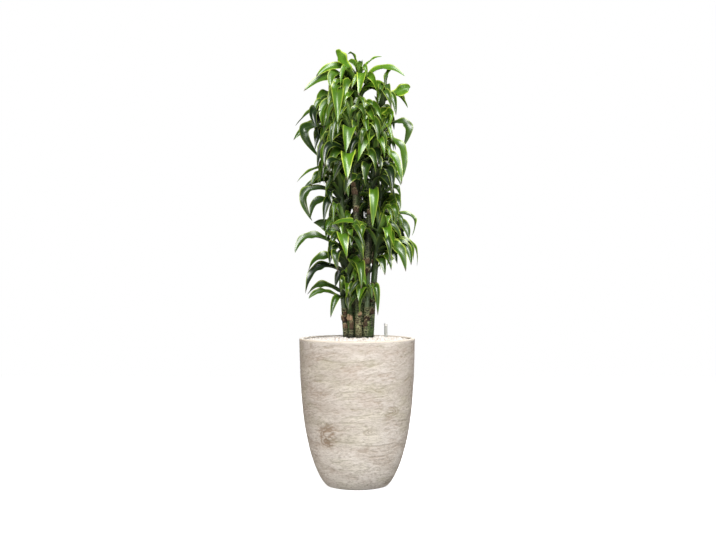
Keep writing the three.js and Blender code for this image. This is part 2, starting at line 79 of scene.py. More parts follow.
# Knots in the face: how far right of the middle of the front, height, half width, half height, the side
# on which they open, and how brown they are.
STONE_KNOTS = (
    (-92, 190, 52, 38, 1, 1.0),
    (118, 272, 34, 15, -1, 0.25),
    (60, 206, 34, 12, 1, 0.15),
    (620, 330, 50, 34, -1, 0.8),
    (-470, 150, 44, 32, 1, 0.6),
)
KNOT_RINGS = (1.0, 0.68, 0.36)
# Nets of short strokes: cells round and up the wall, sharpness, share of the depth, and seed.
STONE_STROKES = ((12, 52, 7.0, 0.5, 41), (24, 92, 6.0, 0.5, 43), (46, 140, 4.5, 0.4, 45))
# Long streaks: how far right of the middle of the front, height, half length, and rise per length.
STONE_STREAKS = (
    (-22, 236, 72, 0.0),
    (-60, 172, 60, -0.06),
    (88, 158, 70, 0.05),
    (40, 140, 48, -0.03),
    (-30, 338, 44, 0.14),
    (70, 350, 60, 0.2),
    (-90, 440, 46, -0.1),
    (300, 260, 90, 0.1),
    (500, 180, 80, -0.04),
    (-300, 300, 90, 0.08),
)


def planter_radius(z):
    """The wall's outer radius at height z: with s the share of the height, nine tenths of the swell
    follow 1 - (1 - s) cubed, to the power 0.68, and one tenth rises evenly with s."""
    s = np.clip(z / POT_HEIGHT, 0, 1)
    swell = SWELL_SHARE * (1 - (1 - s) ** 3) ** SWELL_POWER + (1 - SWELL_SHARE) * s
    return BASE_RADIUS + (RIM_RADIUS - BASE_RADIUS) * swell


def round_corner(centre_r, centre_z, radius, start, end, steps):
    """Points on a quarter round: its centre plus radius times the cosine and sine of even angles."""
    angle = np.radians(np.linspace(start, end, steps))
    return np.stack([centre_r + radius * np.cos(angle), centre_z + radius * np.sin(angle)], axis=1)


def full_turn(steps):
    """Evenly spaced angles all the way round, without the last one, which is the first again."""
    return np.linspace(0, 2 * np.pi, steps, endpoint=False)


def rings(x, y, z, radius, angle):
    """Points at radius and angle round the centre (x, y) at height z:
    (x + radius cos angle, y + radius sin angle, z)."""
    return np.stack([x + radius * np.cos(angle), y + radius * np.sin(angle), z + 0 * angle], axis=-1)


def closed_rows(rows, columns):
    """Quads of a grid of rows by columns whose last column joins its first: each joins a point, the
    next in its row, and the two above them."""
    here = np.arange(rows - 1)[:, None] * columns + np.arange(columns)[None, :]
    beside = np.arange(rows - 1)[:, None] * columns + (np.arange(columns)[None, :] + 1) % columns
    return np.stack([here, beside, beside + columns, here + columns], axis=-1).reshape(-1, 4)


def skin(name, points, faces, uv=None):
    """A smooth-shaded mesh object from points in millimetres and an array of quads. uv, if there is
    one, holds a pair of numbers for each point."""
    mesh = bpy.data.meshes.new(name)
    mesh.from_pydata(points.reshape(-1, 3) * 0.001, [], faces.tolist())
    if uv is not None:
        corners = np.empty(len(mesh.loops), np.int32)
        mesh.loops.foreach_get("vertex_index", corners)
        layer = mesh.uv_layers.new(name="surface")
        layer.data.foreach_set("uv", uv.reshape(-1, 2)[corners].astype(np.float32).ravel())
    mesh.shade_smooth()
    piece = bpy.data.objects.new(name, mesh)
    bpy.context.scene.collection.objects.link(piece)
    return piece


def mark(piece, name, values):
    """Stores a number for each point of the piece, which its finish reads by name."""
    layer = piece.data.attributes.new(name, "FLOAT", "POINT")
    layer.data.foreach_set("value", values.astype(np.float32).ravel())


def close_poles(piece):
    """Merges the points of each end row, which all lie on the axis, so that the surface is closed."""
    weld = piece.modifiers.new("poles", "WELD")
    weld.merge_threshold = 1e-6


def smooth(low, high, x):
    """0 below low, 1 above high, and 3 f squared minus 2 f cubed between them."""
    f = np.clip((x - low) / (high - low), 0, 1)
    return f * f * (3 - 2 * f)


def cast_noise(u, v, columns, rows, seed):
    """Smooth noise from 0 to 1 on a strip that closes on itself. u and v run from 0 to 1 over columns by
    rows cells with a random number at each corner, and between corners the numbers blend by
    3 f squared minus 2 f cubed."""
    corner = np.random.default_rng(seed).random((rows + 2, columns))
    x, y = (u % 1) * columns, np.clip(v, 0, 1) * rows
    i, j = np.floor(x).astype(int), np.floor(y).astype(int)
    f, g = smooth(0, 1, x - i), smooth(0, 1, y - j)
    i, beside = i % columns, (i + 1) % columns
    low = corner[j, i] * (1 - f) + corner[j, beside] * f
    high = corner[j + 1, i] * (1 - f) + corner[j + 1, beside] * f
    return low * (1 - g) + high * g


def right_of(u, place):
    """How far share u of the way round lies right of place, the shorter way and in millimetres. place
    is itself so far right of the middle of the front."""
    return ((u - FRONT - place / FACE_ROUND + 0.5) % 1 - 0.5) * FACE_ROUND


def stone_face(u, z):
    """The modelled face of the wall at share u of the way round and height z: how hollow it is, from 0
    to 1, and how brown. Where noise in long flat cells passes through a half it cuts a stroke. The
    strokes climb to the right in front and lie level lower down, slow noise bends them, and they part
    round each knot, which is three wavering rings that fade out on one side. A few long streaks
    are bell-shaped in height."""
    v = z / POT_HEIGHT

    def grain(columns, rows, seed):
        return cast_noise(u, v, columns, rows, seed)

    climb = 0.085 * smooth(0.3, 0.75, v) * np.sin(2 * np.pi * (u - FRONT))
    layer = v - climb + 0.05 * (grain(6, 4, 1) - 0.5) + 0.022 * (grain(17, 12, 2) - 0.5)
    waver = 0.3 * (grain(40, 22, 5) + grain(90, 50, 6) - 1)
    rings_cut, brown, strokes = 0 * v, 0 * v, 0 * v
    for knot_x, knot_z, wide, high, opens, stain in STONE_KNOTS:
        across, up = right_of(u, knot_x) / wide, (z - knot_z) / high
        away = np.hypot(across, up) + waver
        near = smooth(1.5, 0.6, away)
        layer = layer + 0.05 * near * up
        closed = smooth(0.9, -0.3, opens * across + 0.6 * grain(36, 24, 7) - 0.3)
        arcs = sum(np.exp(-(((away - ring) / 0.09) ** 2)) for ring in KNOT_RINGS)
        rings_cut = np.maximum(rings_cut, arcs * closed)
        brown = np.maximum(brown, stain * near * closed)
    for columns, rows, sharp, share, seed in STONE_STROKES:
        cut = np.clip(1 - np.abs(2 * cast_noise(u, layer, columns, rows, seed) - 1) * sharp, 0, 1)
        strokes = strokes + share * cut * smooth(0.3, 0.62, grain(22, 26, seed + 1))
    for streak_x, streak_z, length, rise in STONE_STREAKS:
        across = right_of(u, streak_x)
        level = z - streak_z - rise * across - 6 * (grain(34, 8, 31) - 0.5)
        bell = np.exp(-((level / 2.4) ** 2)) * smooth(length, 0.5 * length, np.abs(across))
        strokes = np.maximum(strokes, 0.85 * bell * (0.4 + 0.6 * grain(80, 40, 32)))
    pits = 0.3 * smooth(0.45, 0.8, cast_noise(u, layer, 130, 150, 14))
    broad = 0.3 * smooth(0.35, 0.7, cast_noise(u, layer, 14, 20, 11))
    return np.clip(strokes + pits + broad + 0.8 * rings_cut, 0, 1), np.clip(brown, 0, 1)


class Shade:
    """A socket of a material that reads like a number: an expression on shades adds its Math nodes."""

    def __init__(self, tree, socket):
        self.tree = tree
        self.socket = socket

    @classmethod
    def node(cls, tree, kind, settings=None, values=None, out=0):
        """Adds a node. settings are attributes; values are numbers, vectors, colours as #rrggbb or
        shades for its inputs, by name or number."""
        made = tree.nodes.new(kind)
        for key, value in (settings or {}).items():
            setattr(made, key, value)
        for key, value in (values or {}).items():
            if isinstance(value, Shade):
                tree.links.new(value.socket, made.inputs[key])
            else:
                made.inputs[key].default_value = paint(value) if isinstance(value, str) else value
        return cls(tree, made.outputs[out])

    def math(self, operation, *others):
        """A Math node on this shade and the others."""
        values = dict(enumerate((self, *others)))
        return Shade.node(self.tree, "ShaderNodeMath", {"operation": operation}, values)

    def __add__(self, other):
        return self.math("ADD", other)

    def __sub__(self, other):
        return self.math("SUBTRACT", other)

    def __rsub__(self, other):
        return Shade.node(self.tree, "ShaderNodeMath", {"operation": "SUBTRACT"}, {0: other, 1: self})

    def __mul__(self, other):
        return self.math("MULTIPLY", other)

    def __abs__(self):
        return self.math("ABSOLUTE")

    __radd__ = __add__
    __rmul__ = __mul__

    def step(self, low, high):
        """0 below low, 1 above high, and a smooth rise between them."""
        settings = {"interpolation_type": "SMOOTHSTEP"}
        return Shade.node(self.tree, "ShaderNodeMapRange", settings, {"Value": self, 1: low, 2: high})

    def between(self, first, second):
        """The colour first where this is 0, and second where it is 1."""
        settings = {"data_type": "RGBA", "clamp_factor": True}
        values = {0: self, 6: first, 7: second}
        return Shade.node(self.tree, "ShaderNodeMix", settings, values, out=2)

    def axis(self, letter):
        """The X, Y or Z of a vector."""
        return Shade.node(self.tree, "ShaderNodeSeparateXYZ", {}, {0: self}, out=letter)


def paint(hexa):
    """A colour as light: each sRGB channel c becomes ((c + 0.055) / 1.055) to the power 2.4."""
    channels = [int(hexa[i : i + 2], 16) / 255 for i in (1, 3, 5)]
    return (*[((c + 0.055) / 1.055) ** 2.4 if c > 0.04 else c / 12.92 for c in channels], 1.0)


def coats(colour, *layers):
    """The colour with that of each layer over it in turn, as thick as the layer's mask."""
    for mask, over in layers:
        colour = mask.between(colour, over)
    return colour


def new_finish(name, **constants):
    """A material with a Principled shader whose even values are set on its own sockets. Returns the
    material, its node tree and the shader."""
    material = bpy.data.materials.new(name)
    material.use_nodes = True
    shader = material.node_tree.nodes["Principled BSDF"]
    for socket, value in constants.items():
        shader.inputs[socket.replace("_", " ")].default_value = value
    return material, material.node_tree, shader


def drive(shader, tree, **shades):
    """Links shades to the shader's sockets."""
    for socket, shade in shades.items():
        tree.links.new(shade.socket, shader.inputs[socket.replace("_", " ")])


def marked(tree, name):
    """The number that mark has stored on the piece's points."""
    return Shade.node(tree, "ShaderNodeAttribute", {"attribute_name": name}, out="Fac")


def own_place(tree):
    """The place on the piece in metres. Pieces aren't moved or turned, so its Z is the height."""
    return Shade.node(tree, "ShaderNodeTexCoord", out="Object")


def scaled_place(tree, scale, shift=(0.0, 0.0, 0.0), turn=(0.0, 0.0, 0.0)):
    """The place on the piece times scale, turned, plus shift."""
    values = {"Vector": own_place(tree), "Scale": scale, "Rotation": turn, "Location": shift}
    return Shade.node(tree, "ShaderNodeMapping", {}, values)


def noise(tree, where, detail=3.0, rough=0.5):
    """Noise at a vector shade, or at the place on the piece times a scale."""
    vector = scaled_place(tree, where) if isinstance(where, tuple) else where
    values = {"Vector": vector, "Scale": 1.0, "Detail": detail, "Roughness": rough}
    return Shade.node(tree, "ShaderNodeTexNoise", {}, values)


def bump(tree, height, depth, strength=1.0):
    """A Bump node for height in shares of depth, in metres."""
    values = {"Height": height, "Distance": depth, "Strength": strength}
    return Shade.node(tree, "ShaderNodeBump", {}, values)


base_points = [[0, 0], [BASE_RADIUS - 3, 0], [BASE_RADIUS, 0.8]]
wall_z = np.concatenate([[2.0, 5.0], np.arange(7.5, POT_HEIGHT - RIM_ROUND - 0.5, POT_ROW)])
inside_z = np.linspace(POT_HEIGHT - RIM_ROUND - 4, POT_FLOOR + 4, 12)
planter_outline = np.concatenate(
    [
        base_points,
        np.stack([planter_radius(wall_z), wall_z], axis=1),
        round_corner(RIM_RADIUS - RIM_ROUND, POT_HEIGHT - RIM_ROUND, RIM_ROUND, 0, 90, 7),
        round_corner(RIM_RADIUS - POT_WALL + RIM_ROUND, POT_HEIGHT - RIM_ROUND, RIM_ROUND, 90, 180, 7),
        np.stack([planter_radius(inside_z) - POT_WALL, inside_z], axis=1),
        [[planter_radius(POT_FLOOR) - POT_WALL - 4, POT_FLOOR], [0, POT_FLOOR]],
    ]
)
angle = full_turn(POT_SIDES)[None, :]
row_r, row_z = planter_outline[:, 0:1], planter_outline[:, 1:2]
outside = np.arange(len(row_z))[:, None] < len(base_points) + len(wall_z)
depth = outside * smooth(*FACE_FOOT, row_z) * (1 - smooth(*FACE_TOP, row_z))
hollow, brown = stone_face(angle / (2 * np.pi), row_z + 0 * angle)
planter_points = rings(0, 0, row_z, row_r - FACE_DEPTH * hollow * depth, angle)
planter = skin("planter_shell", planter_points, closed_rows(len(row_z), POT_SIDES))
close_poles(planter)
mark(planter, "hollow", hollow * depth)
mark(planter, "brown", brown * depth)

stone, tree, shader = new_finish("weathered_stone", Specular_IOR_Level=0.3)
hollow_mask, brown_mask = marked(tree, "hollow"), marked(tree, "brown")
height = own_place(tree).axis("Z")
clouds = noise(tree, (6, 6, 11))
blush = noise(tree, scaled_place(tree, (8, 8, 17), (1.7, 4.2, 0.3)))
pores = noise(tree, (150, 150, 420), rough=0.6)
hairline = noise(tree, scaled_place(tree, (22, 22, 120), turn=(0, 0.2, 0)), detail=4.0, rough=0.6)
hairline = 1 - abs(hairline - 0.5).step(0.0, 0.035)
# The hollows of the face are painted darker and browner: painted shade in the grooves.
hollow_shade = blush.step(0.4, 0.6).between("#9b846c", "#938b70")
stain = brown_mask * (0.08 + hollow_mask * 0.75 + hairline * 0.3) * (0.4 + pores)
# The rim band is painted paler, a painted highlight along the rounded rim, and it is smoother too.
rim_highlight_and_smooth = height.step(0.503, 0.5065)
stone_colour = coats(
    clouds.step(0.38, 0.62).between("#cec6bd", "#d4ccc4"),
    # Painted light: the lower third is painted paler towards the foot, for light thrown up from the
    # floor.
    ((1 - height.step(0.05, 0.32)) * 0.85, "#f8f1e8"),
    (blush.step(0.5, 0.7) * 0.4, "#dfd8c4"),
    (hollow_mask * (0.38 + clouds * 0.5), hollow_shade),
    (pores.step(0.56, 0.74) * 0.25, "#c2b2a0"),
    (hairline * (0.15 + 0.45 * clouds), "#8a7a68"),
    (stain * 0.7, "#8c7057"),
    (rim_highlight_and_smooth, "#ddd2c2"),
)
drive(shader, tree, Base_Color=stone_colour, Roughness=0.84 - rim_highlight_and_smooth * 0.25 - pores * 0.12)
drive(shader, tree, Normal=bump(tree, pores, 0.0016, 0.5))
planter.data.materials.append(stone)
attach(planter, "root")
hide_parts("planter")


# ---------------------------------------------------------------- granules
# Pale crushed clay granules of 8 to 14 mm, heaped a little round the canes. The bed below is one solid
# with a lumpy top, and the loose granules lie on it.
SOIL_EDGE = 499.0
SOIL_CROWN = 511.0
SOIL_LUMP = 4.0
GRANULES = 2100  # those tried, before the ones in the way are left out
GRANULE_RADII = (3.9, 6.6)
GRANULE_SINK = 2.6
GRANULE_LIFT = 0.8
GRANULE_SCATTER = 2.2
GRANULE_ROUGHNESS = 0.22
GRANULE_TILT = 0.6
GRANULE_FIELD = 182.0  # how far out their middles lie
INSIDE_WALL = 184.5  # and their edges
GRANULE_STRETCH = ((0.8, 1.25), (0.7, 1.0), (0.6, 0.9))  # along x, y and z, at least and at most
GOLDEN_ANGLE = 137.508
GAUGE_PLACE = (101.0, 70.0)
GAUGE_CLEARANCE = 9
FOOT_CENTRE_X = 5.0
CANE_FOOT_RADIUS = 11.3
# Each cane: the radius and bearing of its foot round the bunch's centre, the stem's top x y z, the
# length that carries leaves, the number of leaves by rule, the first of them, and their size.
CANES = {
    "A": ((18.2, 225), (8, 0, 1425), 190, 18, 3, 1.0),
    "B": ((18.2, 45), (95, -8, 1372), 165, 16, 2, 1.0),
    "C": ((44, 162), (-75, 45, 1372), 165, 16, 0, 1.0),
    "D": ((18.2, 315), (68, -45, 1232), 215, 17, 0, 1.0),
    "E": ((44, 270), (-16, -60, 1272), 185, 17, 0, 1.0),
    "K": ((44, 90), (8, 64, 1255), 180, 17, 0, 1.0),
    "F": ((18.2, 135), (-72, -10, 1115), 175, 16, 0, 1.0),
    "G": ((44, 18), (84, 42, 1020), 175, 15, 0, 1.0),
    "L": ((44, 126), (-42, 68, 1030), 175, 16, 0, 1.0),
    "H": ((44, 234), (-42, -44, 895), 180, 16, 0, 1.0),
    "I": ((44, 342), (76, -28, 885), 170, 15, 0, 1.0),
    "N": ((44, 54), (42, 68, 850), 165, 14, 0, 1.0),
    "J": ((44, 198), (-54, -22, 695), 70, 8, 0, 0.8),
    "M": ((44, 306), (36, -54, 690), 60, 7, 0, 0.72),
}


def cane_foot(name):
    """Where a cane leaves the granules: the bunch's centre plus its radius times the cosine and sine of
    its bearing."""
    radius, bearing = CANES[name][0]
    turn = math.radians(bearing)
    return FOOT_CENTRE_X + radius * math.cos(turn), radius * math.sin(turn)


def soil_height(x, y):
    """The heap's height: a low dome that falls with the square of the radius, plus lumps from two
    crossed sine waves, each bent by another wave."""
    share = np.minimum(1, np.hypot(x, y) / (RIM_RADIUS - POT_WALL))
    dome = SOIL_CROWN + (SOIL_EDGE - SOIL_CROWN) * share**2
    lumps = np.sin(0.31 * x + 1.7 * np.sin(0.11 * y)) * np.sin(0.29 * y + 1.3 * np.cos(0.13 * x))
    return dome + SOIL_LUMP * lumps


def spun(a, b, angle):
    """The plane (a, b) turned by angle: (a cos - b sin, a sin + b cos)."""
    return a * np.cos(angle) - b * np.sin(angle), a * np.sin(angle) + b * np.cos(angle)


def pebbles(name, x, y, z, size, luck, sides=7, rows=6):
    """Small rounded stones at (x, y, z): each is a unit sphere of a few rows and sides whose points are
    pushed out or in by up to a ninth, stretched along three axes, tilted, and turned about z."""
    latitude = np.linspace(-np.pi / 2, np.pi / 2, rows)[:, None]
    sphere = rings(0, 0, np.sin(latitude), np.cos(latitude), full_turn(sides)).reshape(-1, 3)
    count = len(x)
    rough = 1 + GRANULE_ROUGHNESS * (luck.random((count, len(sphere))) - 0.5)
    rough[:, :sides] = rough[:, :1]
    rough[:, -sides:] = rough[:, -1:]
    stretch = np.stack([luck.uniform(low, high, count) for low, high in GRANULE_STRETCH], axis=1)
    stones = sphere[None] * rough[:, :, None] * stretch[:, None, :] * size[:, None, None]
    turn = luck.uniform(0, 2 * np.pi, count)
    tilt = luck.uniform(-GRANULE_TILT, GRANULE_TILT, count)
    right, back, up = np.moveaxis(stones, -1, 0)
    back, up = spun(back, up, tilt[:, None])
    right, back = spun(right, back, turn[:, None])
    points = np.stack([x[:, None] + right, y[:, None] + back, z[:, None] + up], axis=-1)
    faces = np.arange(count)[:, None, None] * len(sphere) + closed_rows(rows, sides)[None]
    piece = skin(name, points, faces.reshape(-1, 4))
    close_poles(piece)
    mark(piece, "stone_tone", np.repeat(luck.random(count), len(sphere)))
    return piece


luck = np.random.default_rng(11)
spread = GRANULE_FIELD * np.sqrt((np.arange(GRANULES) + 0.5) / GRANULES)
spiral = np.arange(GRANULES) * math.radians(GOLDEN_ANGLE)
stone_x = spread * np.cos(spiral) + luck.uniform(-GRANULE_SCATTER, GRANULE_SCATTER, GRANULES)
stone_y = spread * np.sin(spiral) + luck.uniform(-GRANULE_SCATTER, GRANULE_SCATTER, GRANULES)
stone_size = luck.uniform(*GRANULE_RADII, GRANULES)
clear = np.hypot(stone_x, stone_y) + stone_size < INSIDE_WALL
for name in CANES:
    foot_x, foot_y = cane_foot(name)
    clear &= np.hypot(stone_x - foot_x, stone_y - foot_y) > CANE_FOOT_RADIUS + 3
clear &= np.hypot(stone_x - GAUGE_PLACE[0], stone_y - GAUGE_PLACE[1]) > GAUGE_CLEARANCE
stone_x, stone_y, stone_size = stone_x[clear], stone_y[clear], stone_size[clear]
stone_z = soil_height(stone_x, stone_y) - GRANULE_SINK
stone_z = stone_z + luck.uniform(-GRANULE_LIFT, GRANULE_LIFT, len(stone_x))
loose = pebbles("loose_granules", stone_x, stone_y, stone_z, stone_size, luck)

clay, tree, shader = new_finish("clay_granules", Roughness=0.9, Specular_IOR_Level=0.25)
tone = marked(tree, "stone_tone")
specks = noise(tree, (900, 900, 900))
clay_colour = coats(
    tone.step(0.0, 0.8).between("#e0d7cd", "#f6f0ea"),
    (tone.step(0.86, 0.9) * 0.7, "#f0e9e1"),
    (specks.step(0.55, 0.75) * 0.3, "#a89a8e"),
)
drive(shader, tree, Base_Color=clay_colour, Normal=bump(tree, specks, 0.0006, 0.8))
loose.data.materials.append(clay)
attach(loose, "root")

bed, tree, shader = new_finish("granule_bed", Roughness=0.95, Specular_IOR_Level=0.2)
lumps = noise(tree, (110, 110, 110), detail=4.0)
drive(shader, tree, Base_Color=lumps.step(0.35, 0.65).between("#c2b7ab", "#e0d7ce"))
drive(shader, tree, Normal=bump(tree, lumps, 0.004))
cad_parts["granules"].data.materials.clear()
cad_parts["granules"].data.materials.append(bed)


# ---------------------------------------------------------------- canes
# Woody stems about 23 mm thick at the foot, ringed all the way up by the scars of shed leaves. They
# stand in the granules in two rings, rise almost plumb and lean out to their crowns.
CANE_ROOT = 350.0
CANE_HEAD_RADIUS = 8.6
CANE_END = 12  # how far the bare cane ends below the leafy length
SCAR_STEP = 0.7  # how far a leaf scar stands out
SCAR_PITCH = (5.0, 11.0)  # from one scar to the next, at least and at most
SCAR_RISE = 0.22  # the share of that in which the bark rises
SCARS_FROM = 480.0
SCARS = 140
TOUCH_GAP = 0.3
LEAN_POWER = 1.3
BARK_SIDES = 22
BURIED_ROWS = (CANE_ROOT, 430.0, 492.0)
BARK_FROM = 497.0  # above this the bark is ringed, with a row of points every 1.5 mm
BARK_ROW = 1.5


def stem_top(name):
    """The height at which the green stem ends and the bud begins."""
    return CANES[name][1][2]


def cane_end(name):
    """The height at which the bare cane ends, a little below the first leaf."""
    return stem_top(name) - CANES[name][2] - CANE_END


def stem_centre(name, z):
    """The stem's centre line: plumb below the granules, and above them moved from its foot to its
    head by the power LEAN_POWER of the share of its height."""
    foot_x, foot_y = cane_foot(name)
    head_x, head_y, top = CANES[name][1]
    lean = np.maximum(0, (z - SOIL_CROWN) / (top - SOIL_CROWN)) ** LEAN_POWER
    return foot_x + (head_x - foot_x) * lean, foot_y + (head_y - foot_y) * lean


def bark_radius(name, z):
    """The cane's radius, which narrows evenly from the granules to the stem's top."""
    share = np.clip((z - SOIL_CROWN) / (stem_top(name) - SOIL_CROWN), 0, 1)
    return CANE_FOOT_RADIUS + (CANE_HEAD_RADIUS - CANE_FOOT_RADIUS) * share


def capped_rows(rows, columns):
    """The quads of closed_rows, with both ends closed by a strip: each quad joins two neighbours on one
    side of the end row and the two opposite them."""
    j = np.arange(columns // 2 - 1)
    low = np.stack([j + 1, j, columns - 1 - j, columns - 2 - j], axis=1)
    high = low[:, ::-1] + (rows - 1) * columns
    return np.concatenate([closed_rows(rows, columns), low, high])


def per_point(rows, columns, *values):
    """Values spread over a grid of rows by columns, side by side at each point."""
    return np.stack([np.broadcast_to(value, (rows, columns)) for value in values], axis=-1)


def cane_surface(name, seed):
    """Rings round the centre line. At each leaf scar the radius rises quickly and falls back slowly, and
    the scars tilt and wander a little round the stem, by two sine waves."""
    end = cane_end(name) - TOUCH_GAP
    z = np.concatenate([BURIED_ROWS, np.arange(BARK_FROM, end - 1, BARK_ROW), [end]])[:, None]
    angle = full_turn(BARK_SIDES)[None, :]
    wander = np.sin(angle + 2.1 * seed + 0.05 * z) * 1.8 + np.sin(3 * angle + 2 * seed + 0.11 * z) * 0.9
    scars = SCARS_FROM + np.cumsum(np.random.default_rng(seed).uniform(*SCAR_PITCH, SCARS))
    scar_count = np.interp(z + wander, scars, np.arange(SCARS))
    phase = scar_count % 1
    saw = np.where(phase < SCAR_RISE, phase / SCAR_RISE, (1 - phase) / (1 - SCAR_RISE))
    tall = 0.5 + 0.5 * np.sin(12.9898 * np.floor(scar_count) + seed) ** 2
    swell = 0.35 * np.sin(2 * angle + seed + z * 0.013) + 0.35 * np.sin(0.045 * z + 3 * seed)
    relief = np.where(z >= BARK_FROM, SCAR_STEP * 1.25 * saw * tall + swell - 0.3, -0.1)
    points = rings(*stem_centre(name, z), z, bark_radius(name, z) + relief, angle)
    uv = per_point(len(z), BARK_SIDES, angle / (2 * np.pi), scar_count)
    return points, capped_rows(len(z), BARK_SIDES), uv


bark, tree, shader = new_finish("ringed_bark", Specular_IOR_Level=0.35)
cane_tone = marked(tree, "cane_tone")
phase = Shade.node(tree, "ShaderNodeUVMap", {"uv_map": "surface"}).axis("Y").math("FRACT")
height = own_place(tree).axis("Z")
scar = phase.step(0.0, 0.08) * (1 - phase.step(0.22, 0.42))
crease_shade = phase.step(0.74, 0.98) + (1 - phase.step(0.0, 0.06))
mottle = noise(tree, (70, 70, 26), detail=5.0)
flake = noise(tree, (190, 190, 90))
patches = noise(tree, scaled_place(tree, (26, 26, 11), (4, 4, 4)))
net_place = {0: scaled_place(tree, (95, 95, 60)), 1: mottle * 0.8}
net_place = Shade.node(tree, "ShaderNodeVectorMath", {"operation": "ADD"}, net_place)
net_values = {"Vector": net_place, "Scale": 1.0}
net = Shade.node(tree, "ShaderNodeTexVoronoi", {"feature": "DISTANCE_TO_EDGE"}, net_values)
net = 1 - net.step(0.02, 0.1)
green = mottle.step(0.36, 0.62).between("#0a1405", "#34511b")
brown = mottle.step(0.36, 0.62).between("#120e08", "#463a24")
light = (flake.step(0.36, 0.58) * scar) * (0.12 + 0.5 * patches.step(0.35, 0.6))
light = light.math("MAXIMUM", net * (0.14 + 0.5 * patches.step(0.38, 0.55)))
bark_colour = coats(
    (patches + cane_tone * 0.3 - 0.2).step(0.44, 0.6).between(green, brown),
    (light, "#a6ab7c"),
    # painted shade in the crease under each scar ridge
    (crease_shade.math("MINIMUM", 1.0) * 0.7, "#100f08"),
    # painted shade on the canes just above the granules, where they stand close together
    ((1 - height.step(0.514, 0.53)) * 0.75, "#10120a"),
    # painted shadow of the crowns on the upper canes
    (height.step(0.57, 0.68) * 0.5, "#17140c"),
)
drive(shader, tree, Base_Color=bark_colour, Roughness=0.55 + flake * 0.25)
drive(shader, tree, Normal=bump(tree, flake, 0.0014, 0.8))

for index, name in enumerate(CANES):
    bark_piece = skin(f"bark_{name}", *cane_surface(name, 1 + index))
    point_count = len(bark_piece.data.vertices)
    mark(bark_piece, "cane_tone", np.full(point_count, (0.35 + 0.618 * index) % 1))
    bark_piece.data.materials.append(bark)
    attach(bark_piece, "root")
    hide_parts(f"cane_{name}")


# ---------------------------------------------------------------- dry sheaths
# Papery bases of shed leaves that still clasp the canes, split and flared at the top. They show as tan
# and dark brown collars near the granules and under each crown.
# Cane, height of the foot, bearing of the middle, how far round, height, flare at the top, and darkness.
SHEATHS = [
    ("H", 570, -100, 110, 24, 3.2, 0.0),
    ("H", 540, -72, 90, 34, 2.2, 0.85),
    ("E", 588, -60, 70, 16, 2.6, 0.2),
    ("J", 566, -150, 100, 26, 2.6, 0.6),
    ("M", 552, -100, 70, 26, 2.2, 0.9),
    ("I", 592, -80, 90, 24, 2.6, 0.9),
    ("A", 700, -90, 150, 26, 2.4, 0.8),
    ("D", 724, -60, 160, 30, 2.6, 0.95),
    ("D", 764, -90, 150, 24, 2.2, 0.7),
    ("E", 1000, -100, 150, 26, 2.4, 0.8),
    ("E", 940, -60, 140, 24, 2.4, 0.9),
]
SHEATH_THICKNESS = 0.7
SHEATH_STAND = 0.8  # how far a sheath stands off the bark at its foot
COLLAR_DROPS = (24, 48, 70)  # how far below the cane's end the collars under a crown begin
COLLAR_LEAST = (16, 1.2, 0.45)  # their height, flare and darkness at the least
COLLAR_MOST = (26, 3.0, 1.0)  # and at the most

sheath_luck = np.random.default_rng(23)
for name in CANES:
    for drop in COLLAR_DROPS:
        bearing, span = sheath_luck.uniform(-170, 170), sheath_luck.uniform(110, 200)
        collar = sheath_luck.uniform(COLLAR_LEAST, COLLAR_MOST)
        SHEATHS.append((name, cane_end(name) - drop, bearing, span, *collar))


def sheath_surface(name, foot, bearing, span, height, flare, seed, rows=9, columns=15):
    """A thin curved sheet round a stem: it stands off the bark by SHEATH_STAND plus flare times the
    share of its height squared, its top edge rises and falls with two sine waves and comes down at
    both sides, and an inner copy a little nearer closes it."""
    up = np.linspace(0, 1, rows)[:, None]
    side = np.linspace(-1, 1, columns)[None, :]
    torn = (1 + np.sin(11 * side + seed)) * (1 + np.sin(4.1 * side + 2 * seed)) / 2
    jag = 1 - 0.3 * side**4 - 0.22 * torn
    z = foot + height * up * jag
    turn = np.radians(bearing + side * span / 2 * (1 - 0.25 * up))
    stand = SHEATH_STAND + flare * up**2 * (1 + 0.4 * np.sin(5 * side + seed))
    stand = stand + 0.5 * np.sin(7 * side + 3 * seed) * up
    outer, inner = (
        rings(*stem_centre(name, z), z - 0.2 * inward, bark_radius(name, z) + stand - inward, turn)
        for inward in (0.0, SHEATH_THICKNESS)
    )
    points = np.concatenate([outer, inner[:, ::-1]], axis=1)
    side = np.concatenate([side, side[:, ::-1]], axis=1)
    uv = per_point(rows, 2 * columns, side * 0.5 + 0.5, up)
    return points.reshape(-1, 3), capped_rows(rows, 2 * columns), uv.reshape(-1, 2)


def joined(parts):
    """The points, faces and uv of several surfaces as those of one."""
    first_points = np.cumsum([0] + [len(part[0]) for part in parts])
    faces = [part[1] + first for part, first in zip(parts, first_points)]
    points, uv = (np.concatenate([part[i] for part in parts]) for i in (0, 2))
    return points, np.concatenate(faces), uv


def spread_over(parts, values):
    """One value for each part, repeated for each of its points."""
    return np.repeat(values, [len(part[0]) for part in parts])


parts = [sheath_surface(*row[:6], 1.3 * number) for number, row in enumerate(SHEATHS)]
sheaths = skin("dry_sheaths", *joined(parts))
sheaths.data.set_sharp_from_angle(angle=math.radians(60))
mark(sheaths, "darkness", spread_over(parts, [row[6] for row in SHEATHS]))

